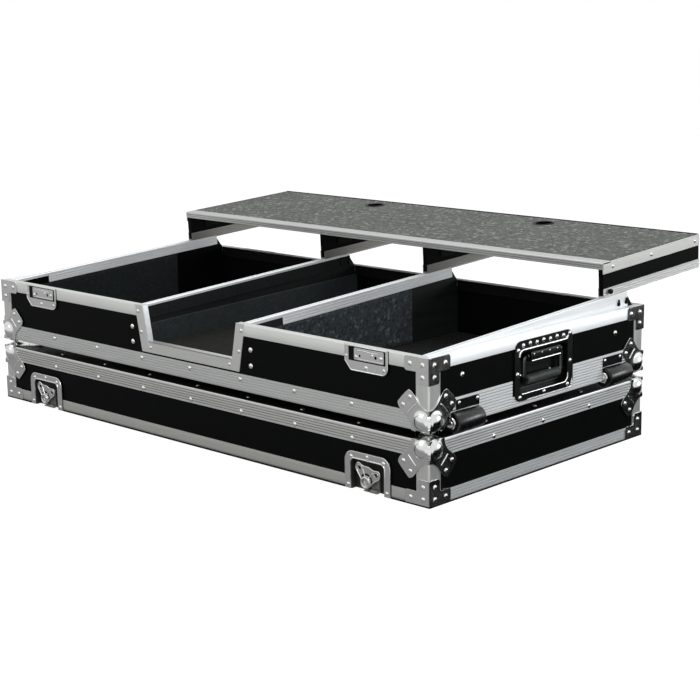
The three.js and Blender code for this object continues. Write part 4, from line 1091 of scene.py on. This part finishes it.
@drawing
def handle_grip(part):
    """The sleeve on the bar, fuller at its middle and with a collar at each end."""
    collar = [(3.8, 42.0), (6.6, 42.0), (7.4, 41.2), (7.5, 39.0), (6.9, 37.8)]
    body = [(7.0 + 0.4 * math.sin(math.pi * k / 8), -36.0 + 72.0 * k / 8) for k in range(9)]
    profile = [*[(r, -h) for r, h in collar], *body, *reversed(collar)]
    lathe(part, profile, 28, toward((HINGE_X, HANDLE_Y, GRIP_Z), (0, 1, 0)), closed=True)


@drawing
def handle_spring(part):
    """The coil round the hinge."""
    turns, steps, wire, mean, long = 20, 12, 0.75, 4.75, 62.0
    points = []
    for k in range(turns * steps + 1):
        angle, y = 2 * math.pi * k / steps, HANDLE_Y - long / 2 + long * k / (turns * steps)
        points.append((HINGE_X + mean * math.cos(angle), y, HINGE_Z + mean * math.sin(angle)))
    tube(part, points, wire, 6)


HANDLE_HEADS = [(-66.5, 38.0), (67.0, 45.5), (-68.5, 0), (68.5, 0), (-62, -38.5), (0, -39), (62, -38.5)]
HANDLE_HEADS += [(-54 + 17.4 * k, 45.6 if k % 2 else 44.4) for k in range(7)]
for end, side in ENDS.items():
    for label, draw, look, slot_name, body, node, edge in (
        # The plate, pan and hinge cover take near-black chrome: painted shade and dark reflection.
        ("plate", handle_flange, PAN_PAINTED_SHADE, "chrome", "base", "dish", 0.3),
        ("edge", handle_beads, CHROME, "chrome", "base", None, 0.0),
        ("pan", handle_pan, PAN_PAINTED_SHADE, "chrome", "base", None, 0.3),
        ("hinge_cover", handle_cover, PAN_PAINTED_SHADE, "chrome", "base", None, 0.3),
        ("coil", handle_spring, STEEL, "rivets", "base", "spring", 0.0),
        ("bar", handle_bail, BAR_STEEL, "chrome", f"handle_{end}", "bail", 0.0),
        ("sleeve", handle_grip, GRIP, "rubber", f"handle_{end}", "grip", 0.0),
    ):
        stands = (f"handle_{node}_{end}",) if node else ()
        piece(f"handle_{label}_{end}", body, draw(flipped(side)), look, BASE, stands, edge, 45)
    # Rivets of the plate, small heads along the hinge cover, and rests for the grip
    rests = [(-47, -8), (31, -10), (58, -14)]
    row = [(-30 + 20 * k, HINGE_Z - HANDLE_Z + 3.4) for k in range(4)]
    rows = ((RIGHT + 1.2, HANDLE_HEADS, 0.95), (RIGHT + 4.7, row, 0.4), (DISH_X + 0.1, rests, 0.9))
    for x, spots, share in rows:
        for point in about(side * x, spots):
            dome(base_heads, point, (side, 0, 0), share)


# Tilt rollers and their housings, drawn at the front corner of the right end

ROLLER_X, ROLLER_Z, ROLLER_Y0, ROLLER_LONG = 541.0, 5.5, 51.5, 62.0
ROLLER_Y1 = ROLLER_Y0 + ROLLER_LONG
CUP_Y0, CUP_Y1, CUP_TOP = ROLLER_Y0 - 2.5, ROLLER_Y1 + 2.5, 25.0


@drawing
def roller(part):
    """The tyre, with a groove round its middle."""
    end = [(3.3, 1.0), (7.8, 1.0), (8.4, 0.1), (9.0, 0), (15.0, 0), (16.4, 0.6), (17.0, 2.0)]
    groove = [(17.0, 30.2), (16.6, 30.6), (16.6, 31.4), (17.0, 31.8)]
    profile = [(r, ROLLER_Y0 + h) for r, h in [*end, *groove]]
    profile += [(r, ROLLER_Y1 - h) for r, h in reversed(end)]
    lathe(part, profile, 40, toward((ROLLER_X, 0, ROLLER_Z), (0, 1, 0)), closed=True)


@drawing
def roller_housing(part):
    """The cup round the roller, with shaped cheeks and a plate on the end board."""
    t, x_in, top = 1.5, 521.5, CUP_TOP
    box(part, x_in, RIGHT, CUP_Y0, CUP_Y1, top - t, top)
    box(part, x_in, x_in + t, CUP_Y0, CUP_Y1, 0, top - t)
    cheek = [(x_in, 0), (ROLLER_X - 8, -6.0), (ROLLER_X, -6.0), (ROLLER_X + 11.5, -2.0),
             (ROLLER_X + 11.5, 10.0), (ROLLER_X, 17.0), (RIGHT, top), (x_in, top)]
    for y in (CUP_Y0, CUP_Y1 - t):
        slab(part, "y", fillet(cheek, [0.5, 6, 6, 8, 8, 6, 0.5, 0.5]), y, y + t)
    slab(part, "x", fillet(rect(61.3, CUP_Y1, top - t, top + 14), [1, 1, 4, 4], 4), RIGHT, RIGHT + 1.2)


@drawing
def roller_caps(part):
    """The axle, with a dished cap on each cheek."""
    profile = [(0, 1.4), (2.6, 1.4), (3.2, 0.7), (6.4, 0.7), (7.0, 1.9), (8.2, 2.4), (9.3, 2.0), (9.8, 1.1),
               (9.8, 0.0), (0, 0.0)]
    for y, out in ((CUP_Y0, -1), (CUP_Y1, 1)):
        lathe(part, profile, 28, toward((ROLLER_X, y, ROLLER_Z), (0, out, 0)))
    axle = [(0, CUP_Y0), (3.0, CUP_Y0), (3.0, CUP_Y1), (0, CUP_Y1)]
    lathe(part, axle, 16, toward((ROLLER_X, 0, ROLLER_Z), (0, 1, 0)))


for end, put in (("front", Matrix.Identity(4)), ("rear", shifted(0, BACK) @ flipped(1, -1))):
    cup, axle, tyre = roller_housing(put), roller_caps(put), roller(put)
    piece(f"roller_cup_{end}", "base", cup, PLASTIC, BASE, (f"roller_housing_{end}",), 0.4)
    piece(f"roller_axle_{end}", "base", axle, CHROME, BASE, angle=40)
    piece(f"roller_tyre_{end}", f"roller_{end}", tyre, TYRE, BASE, (f"roller_{end}",), angle=40)
    for y in (68.3, 111.3):
        dome(base_heads, put @ Vector((RIGHT + 1.2, y, 34.3)), (1, 0, 0), 0.8)


# Rails, each with a deep plain leg and, from behind a notch at the front, a ribbed leg on its well's side

h, t, web, far, low = RAIL_HALF, 1.5, -6.0, -26.0, -19.0
RAIL_FRONT, RAIL_END = RIM_DEPTH + 0.3, BACK - 28.0
RAIL_NOTCH = RAIL_FRONT + 78.0
crown = [(h, -0.9), (h - 0.9, 0), (4.6, 0), (4.3, -0.5), (3.6, -0.5), (3.3, 0), (2, 0), (3.1, -3.6)]
crown += [(-a, b) for a, b in reversed(crown)]
leg = [(-h, far), (t - h, far), (t - h, web), (h - t, web)]
ribs = []
for c in (-15.0, -10.5, -5.5):
    ribs += [(h, c - 0.6), (h - 0.6, c - 0.3), (h - 0.6, c + 0.3), (h, c + 0.6)]
screw = [(0, 3.0), (1.8, 3.0), (3.0, 2.4), (3.5, 1.4), (3.5, -1.0), (0, -1.0)]
stem = [(0, 7.6), (1.1, 7.6), (1.6, 7.0), (1.6, 0), (0, 0)]
for (name, x), well in zip(RAILS.items(), (1, -1, 1, -1)):
    put = shifted(x) @ flipped(well)
    part, stops = bmesh.new(), bmesh.new()
    slab(part, "y", [*leg, (h, web), *crown], RAIL_FRONT, RAIL_NOTCH)
    slab(part, "y", [*leg, (h - t, low), (h, low), *ribs, *crown], RAIL_NOTCH, RAIL_END)
    for inset in (5.0, 27.0):
        lathe(stops, screw, 16, toward((-h, RAIL_END - inset, -18.0), (-1, 0, 0)))
        lathe(stops, stem, 12, toward((-h - 1.7, RAIL_END - inset, -18.0), (0, 0, 1)))
    piece(f"rail_stops_{name}", "base", placed(stops, put), PLASTIC, RAIL)
    track = placed(part, put)
    # The rails take a near-white copy of the aluminium: painted light.
    piece(f"rail_track_{name}", "base", track, ALU_RAIL_PAINTED_LIGHT, RAIL, (f"rail_{name}",), 0.2)


# Laptop shelf

h, gap, high = RAIL_HALF, 0.3, 15.5
ribs = [point for c in (3.4, 7.4, 11.4) for point in ((h, c - 0.5), (h - 0.5, c), (h, c + 0.5))]
outline = [(-h, gap), (-1.7, gap), (-2.8, -3.0), (2.8, -3.0), (1.7, gap), (h, gap), *ribs, (h, high),
           (h - t, high), (h - t, 2.8), (t - h, 2.8), (t - h, high), (-h, high),
           *[(-a, b) for a, b in reversed(ribs)]]
for name, x in RAILS.items():
    bm = bmesh.new()
    slab(bm, "y", [(x + a, b) for a, b in outline], 0, SHELF_D)
    # Three feet take a dark copy of the aluminium, painted shade under the shelf; the right one takes the
    # side trims' look.
    look = ALU_SIDE if name == "right" else ALU_FOOT_PAINTED_SHADE
    piece(f"shelf_foot_{name}", "shelf", bm, look, SHELF, (f"shelf_runner_{name}",), 0.25)

# The front trim, grooved on its face and wrapped over the board, with a lip where the carpet starts
bm = bmesh.new()
w, top, under = SHELF_HALF, SHELF_TOP, SHELF_TOP - 3.0 + 0.3
front = [(-t + 0.9, SHELF_UNDER), (-0.3, SHELF_UNDER), (-0.3, under), (SHELF_TRIM, under),
         (SHELF_TRIM, top - 0.4), (SHELF_TRIM - 0.4, top), (0.6, top), (-0.4, top - 0.25),
         (-t + 0.2, top - 0.8), (-t, top - 1.6)]
for z in (top - 3.6, top - 7.2):
    front += [(-t, z), (-t + 0.8, z - 0.4), (-t + 0.8, z - 1.1), (-t, z - 1.5)]
slab(bm, "x", [*front, (-t, SHELF_UNDER + 0.6)], -w - t, w + t)
piece("shelf_front_trim", "shelf", bm, ALU_TRIM, SHELF, ("shelf_trim",), bevel=0.2)
bm = bmesh.new()
box(bm, -w, w, SHELF_TRIM - 1.3, SHELF_TRIM - 0.2, top - 0.3, top + 0.5)
piece("shelf_trim_lip", "shelf", bm, ALU_X, SHELF, bevel=0.2)

# The side trims, with a line near the top
bm = bmesh.new()
low, out = top - 19.7, w + t
section = [(w, low), (out - 0.4, low), (out, low + 0.5), (out, top - 3.6), (out - 0.3, top - 3.3),
           (out - 0.3, top - 2.9), (out, top - 2.6), (out, top - 0.9), (out - 0.6, top), (w, top)]
for side in SIDES:
    slab(bm, "y", [(side * a, b) for a, b in section], -t + 0.2, SHELF_D)
    for share in (0.09, 0.48, 0.95):
        dome(shelf_heads, (side * out, share * SHELF_D, (low + top) / 2), (side, 0, 0), 0.85)
piece("shelf_side_trims", "shelf", bm, ALU_SIDE, SHELF, bevel=0.2)

# A dark joint between the carpet and its trims, and along its rear
JOINT, JOINT_REAR = 1.8, 3.0
bm = bmesh.new()
for side in SIDES:
    box(bm, side * (w - JOINT), side * w, SHELF_TRIM, SHELF_D, top - 0.4, top + 0.1)
box(bm, JOINT - w, w - JOINT, SHELF_D - JOINT_REAR, SHELF_D, top - 0.4, top + 1.0)
piece("shelf_joint", "shelf", bm, PLASTIC, SHELF)

# Darker lines along the front trim: the two in its grooves are painted shade there, and two more run along
# its top
bm = bmesh.new()
for z in (top - 4.35, top - 7.95):
    box(bm, -w - t, w + t, 0.05 - t, 0.8 - t, z - 0.5, z + 0.5)
for y in (5.0, 13.0):
    box(bm, -w, w, y - 1.0, y + 1.0, top - 0.2, top + 0.05)
piece("shelf_trim_shade_lines", "shelf", bm, ALU_GROOVE_PAINTED_SHADE, SHELF)

# Black brackets at the tops of the legs
bm, screws = bmesh.new(), bmesh.new()
for name, x in RAILS.items():
    for inward in {"left": (1,), "right": (-1,)}.get(name, (1, -1)):
        face, part = x + inward * 4.5, bmesh.new()
        slab(part, "x", fillet(rect(38, 78, SHELF_UNDER - 24, SHELF_UNDER), [4, 4, 0.5, 0.5], 4), 0, 1.6)
        slab(part, "x", fillet(rect(38, 78, SHELF_UNDER - 1.6, SHELF_UNDER), 0.4, 2), 0, 22)
        join(bm, part, shifted(face) @ flipped(inward))
        dome(screws, (face + inward * 1.6, 58, SHELF_UNDER - 11), (inward, 0, 0), 0.95)
piece("shelf_brackets", "shelf", bm, PLASTIC, SHELF, bevel=0.3)
piece("shelf_bracket_screws", "shelf", screws, ZINC, SHELF, angle=60)

# A knob at the front of the right runner
bm = bmesh.new()
profile = [(0, 6.0), (3.0, 6.0), (4.0, 5.4), (4.4, 4.4), (4.4, 2.2), (3.0, 1.2), (3.0, -1.0), (0, -1.0)]
lathe(bm, profile, 24, toward((SIDE_RAIL + RAIL_HALF, 15, 9.4), (1, 0, 0)))
piece("shelf_knob", "shelf", bm, PLASTIC, SHELF)

# Moulded rings round the cable holes
bm = bmesh.new()
profile = [(16.0, SHELF_UNDER), (17.5, SHELF_UNDER), (17.5, top), (19.6, top), (20.0, top + 0.5),
           (19.6, top + 1.2), (17.0, top + 1.2), (16.2, top + 0.8), (16.0, top)]
for x in HOLES:
    lathe(bm, profile, 36, shifted(x, HOLE_Y), closed=True)
piece("shelf_cable_rings", "shelf", bm, PLASTIC, SHELF)


# Carpets and linings


def skin(bm, grid, skip=None):
    """The faces between neighbouring rows of vertices, apart from those that skip names by index."""
    for i, (row, after) in enumerate(zip(grid, grid[1:])):
        for j in range(len(row) - 1):
            if not (skip and skip(i, j)):
                bm.faces.new((row[j], after[j], after[j + 1], row[j + 1]))


def pile(name, body, matrix, look, corner, wide, long, pitch, height, seed, replaces=(), hole=None):
    """A level carpet from a corner, its face roughened by its fibres and its rim turned down."""
    corner, thick = Vector(corner), 2.0
    nu, nv = round(wide / pitch), round(long / pitch)
    rng = np.random.default_rng(seed)
    fine = rng.random((nu + 1, nv + 1))
    broad = rng.random((nu // 4 + 2, nv // 4 + 2))

    def rise(i, j):
        """How far a vertex stands over the carpet's plane: the rim is pressed down."""
        if i in (0, nu) or j in (0, nv):
            return -0.5
        return height * (0.65 * fine[i, j] + 0.35 * broad[i // 4, j // 4])

    def spot_at(i, j, z=0.0):
        return corner + Vector((wide * i / nu, long * j / nv, z))

    bm = bmesh.new()
    grid = [[bm.verts.new(spot_at(i, j, rise(i, j))) for j in range(nv + 1)] for i in range(nu + 1)]
    skin(bm, grid, lambda i, j: hole and hole(spot_at(i + 0.5, j + 0.5)))
    bmesh.ops.delete(bm, geom=[v for v in bm.verts if not v.link_faces], context="VERTS")
    down = bmesh.ops.extrude_edge_only(bm, edges=[e for e in bm.edges if e.is_boundary])
    low_rim = [v for v in down["geom"] if isinstance(v, bmesh.types.BMVert)]
    bmesh.ops.translate(bm, verts=low_rim, vec=(0, 0, -thick))
    piece(name, body, bm, look, matrix, replaces, angle=180, outward=False)


def over_hole(point):
    return any((point - Vector((x, HOLE_Y, point.z))).length < HOLE_CLEAR for x in HOLES)


corner = (JOINT - w, SHELF_TRIM + 0.3, SHELF_TOP - 0.2)
pile("shelf_top_carpet", "shelf", SHELF, SHELF_PILE, corner, 2 * (w - JOINT),
     SHELF_D - JOINT_REAR - corner[1], 2.6, 0.9, 3, ("shelf_carpet",), over_hole)

FLOOR_TOP, WELL_IN, WELL_OUT, WELL_FRONT = 14.0, 136.4, 515.6, 11.4
for end, side in ENDS.items():
    corner = (min(side * WELL_IN, side * WELL_OUT), WELL_FRONT, FLOOR_TOP)
    pile(f"well_floor_carpet_{end}", "base", BASE, FLOOR_PILE, corner, WELL_OUT - WELL_IN,
         BACK - 2 * WELL_FRONT, 4.0, 0.5, 11 + side)


def rail_low(y):
    """Height over the base's underside of a rail's lower edge on its well side."""
    return BASE_H - 1.0 + y * math.tan(SLOPE) - RAIL_LEG / math.cos(SLOPE)


def wall_lining(name, x, facing, seed):
    """Carpet on a wall of a well, from its floor up to the rail."""
    bm = bmesh.new()
    rng = np.random.default_rng(seed)
    y0, y1, low, pitch, nv = 13.0, 417.0, FLOOR_TOP + 0.6, 3.2, 30
    nu = round((y1 - y0) / pitch)
    grid = []
    for i in range(nu + 1):
        y = y0 + (y1 - y0) * i / nu
        high = rail_low(y) - 0.4
        row = []
        for j in range(nv + 1):
            proud = 0.2 if i in (0, nu) or j in (0, nv) else 1.5 + 0.8 * rng.random()
            row.append(bm.verts.new((x + facing * proud, y, low + (high - low) * j / nv)))
        grid.append(row)
    skin(bm, grid)
    look = WELL_PILE if facing * x > 0 else WELL_PLAIN
    piece(name, "base", bm, look, BASE, angle=180)


wall_lining("well_carpet_right_inner", 136.0, 1, 21)
wall_lining("well_carpet_left_inner", -136.0, -1, 22)
wall_lining("well_carpet_left_outer", -516.0, 1, 23)
wall_lining("well_carpet_right_outer", 516.0, -1, 24)

# Lower linings of the bay's walls, rising a little towards the rear, and black strips over the rails'
# inner legs
BAY_HALF, DECK_LOW, DECK_HIGH, LINER_T, LINER_LOW, LINER_HIGH = 127.0, 31.5, 42.4, 5.0, 40.5, 77.5
liners, strips = bmesh.new(), bmesh.new()
front, rear, rise = 20.0, BACK - SKIN, math.tan(math.radians(1.9))
face = [(front, LINER_LOW), (rear, LINER_LOW), (rear, LINER_HIGH + rear * rise),
        (front, LINER_HIGH + front * rise)]
inner, strip_rear = BAY_RAIL - RAIL_HALF, RAIL_END - 0.4
for side in SIDES:
    liner, strip = bmesh.new(), bmesh.new()
    slab(liner, "x", fillet(face, [0.5, 0.5, 2, 2], 3), BAY_HALF - LINER_T, BAY_HALF)
    join(liners, liner, flipped(side))
    slab(strip, "y", rect(inner - 1.5, inner, -26.0, -4.5), 13.0, strip_rear)
    join(strips, strip, flipped(side))
piece("bay_liners", "base", liners, BAY_WALL, BASE, bevel=0.6)
piece("bay_rail_strips", "base", strips, WELL_FACE, RAIL, bevel=0.3)

# Black strips along the rear rim, between the rails
bm = bmesh.new()
rails, aside, face = list(RAILS.values()), RAIL_HALF + 0.5, BACK - RIM_DEPTH
for x0, x1 in zip(rails, rails[1:]):
    box(bm, x0 + aside, x1 - aside, face - 1.4, face, BASE_H - 20.0, BASE_H - 0.6)
piece("rear_strips", "base", bm, STRIP_BLACK, BASE, bevel=0.3)

bm = bmesh.new()
box(bm, -BAY_HALF, BAY_HALF, SKIN, BACK - SKIN, DECK_LOW, DECK_HIGH)
piece("bay_deck", "base", bm, PLYWOOD, BASE, ("mixer_deck",), bevel=0.4)
half = BAY_HALF - LINER_T
pile("bay_floor_carpet", "base", BASE, BAY_PILE, (-half, SKIN + 0.2, DECK_HIGH + 0.8), 2 * half,
     BACK - 2 * SKIN - 0.4, 4.0, 0.5, 31)

piece("lid_rivets", "lid", lid_heads, STEEL, LID, angle=60)
piece("base_rivets", "base", base_heads, STEEL, BASE, angle=60)
piece("shelf_rivets", "shelf", shelf_heads, STEEL, SHELF, angle=60)


# Floor, light and world, in metres


def seen(tree, *more):
    """1 for rays that look at a thing: from the camera, in reflections, and of more kinds."""
    rays = add(tree, "ShaderNodeLightPath").outputs
    found = rays["Is Camera Ray"]
    for kind in ("Is Glossy Ray", *more):
        found = add(tree, "ShaderNodeMath", found, rays[kind], operation="MAXIMUM").outputs[0]
    return found


def floor_nodes(tree):
    """Pale floor, near white to the camera and in reflections, that still takes a soft shadow."""
    plain = add(tree, "ShaderNodeBsdfDiffuse", (0.8, 0.8, 0.8))
    soft = add(tree, "ShaderNodeBsdfDiffuse", (0.22, 0.22, 0.22))
    white = add(tree, "ShaderNodeEmission", Strength=0.9)
    lit = add(tree, "ShaderNodeAddShader", soft.outputs[0], white.outputs[0])
    return add(tree, "ShaderNodeMixShader", seen(tree), plain.outputs[0], lit.outputs[0])


def level_panel(name, x0, x1, y0, y1, z, build):
    """A level rectangle of the stage, whose surface is built from nodes."""
    look = bpy.data.materials.new(name)
    look.use_nodes = True
    look.node_tree.nodes.clear()
    surface = build(look.node_tree)
    add(look.node_tree, "ShaderNodeOutputMaterial", surface.outputs[0])
    mesh = bpy.data.meshes.new(name)
    mesh.from_pydata([(x, y, z) for x, y in rect(x0, x1, y0, y1)], [], [(0, 1, 2, 3)])
    mesh.materials.append(look)
    made = shown(name, mesh)
    made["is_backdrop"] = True
    return made


def card(name, x0, x1, y0, y1, level):
    """A plain card of one brightness, lying on the floor, that only reflections see."""
    made = level_panel(name, x0, x1, y0, y1, 0, lambda tree: add(tree, "ShaderNodeEmission", Strength=level))
    made.visible_camera = made.visible_diffuse = made.visible_shadow = made.visible_transmission = False


FLOOR_REACH = 14.0
level_panel("floor", -FLOOR_REACH, FLOOR_REACH, -FLOOR_REACH, FLOOR_REACH, -0.0005, floor_nodes)
card("card_right", 0.6, 1.75, -0.42, 2.2, 0.004)
card("card_right_near", 0.5355, 0.6, -0.37, 0.6, 0.02)
card("card_front_near", -2.3, 0.6, -0.62, -0.3725, 0.33)
card("card_front_middle", -2.3, 0.6, -0.95, -0.62, 0.41)
card("card_front", -2.3, 0.6, -1.9, -0.95, 0.48)

# A white world, dimmer as a source of light than it looks
world = bpy.data.worlds.new("studio")
bpy.context.scene.world = world
world.use_nodes = True
tree = world.node_tree
looks = seen(tree, "Is Transmission Ray")
strength = add(tree, "ShaderNodeMapRange", looks, **{"To Min": 0.45, "To Max": 1.0})
background = tree.nodes["Background"]
fill(tree, background.inputs["Color"], (1, 1, 1))
fill(tree, background.inputs["Strength"], strength.outputs[0])


def lamp(name, where, aim, size, power, color=(1, 1, 1)):
    data = bpy.data.lights.new(name, "AREA")
    data.shape = "RECTANGLE"
    data.size, data.size_y = size
    data.energy = power
    data.color = color
    made = shown(name, data)
    made.location = where
    made.rotation_mode = "QUATERNION"
    made.rotation_quaternion = (Vector(aim) - Vector(where)).to_track_quat("-Z", "Y")


lamp("key", (-1.4, -2.6, 2.4), (0, 0, 0.15), (2.2, 1.6), 24)
lamp("fill_right", (2.7, 2.3, 0.75), (0.3, 0, 0.2), (1.6, 0.7), 24, (0.95, 0.98, 1.0))
lamp("front_right", (2.3, -1.9, 2.1), (0, 0, 0.2), (1.2, 1.0), 26, (0.97, 0.99, 1.0))
lamp("top", (0.2, 0.6, 3.0), (0, 0, 0.2), (2.6, 1.6), 36)

bpy.context.scene.view_settings.view_transform = "Standard"

low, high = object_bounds()
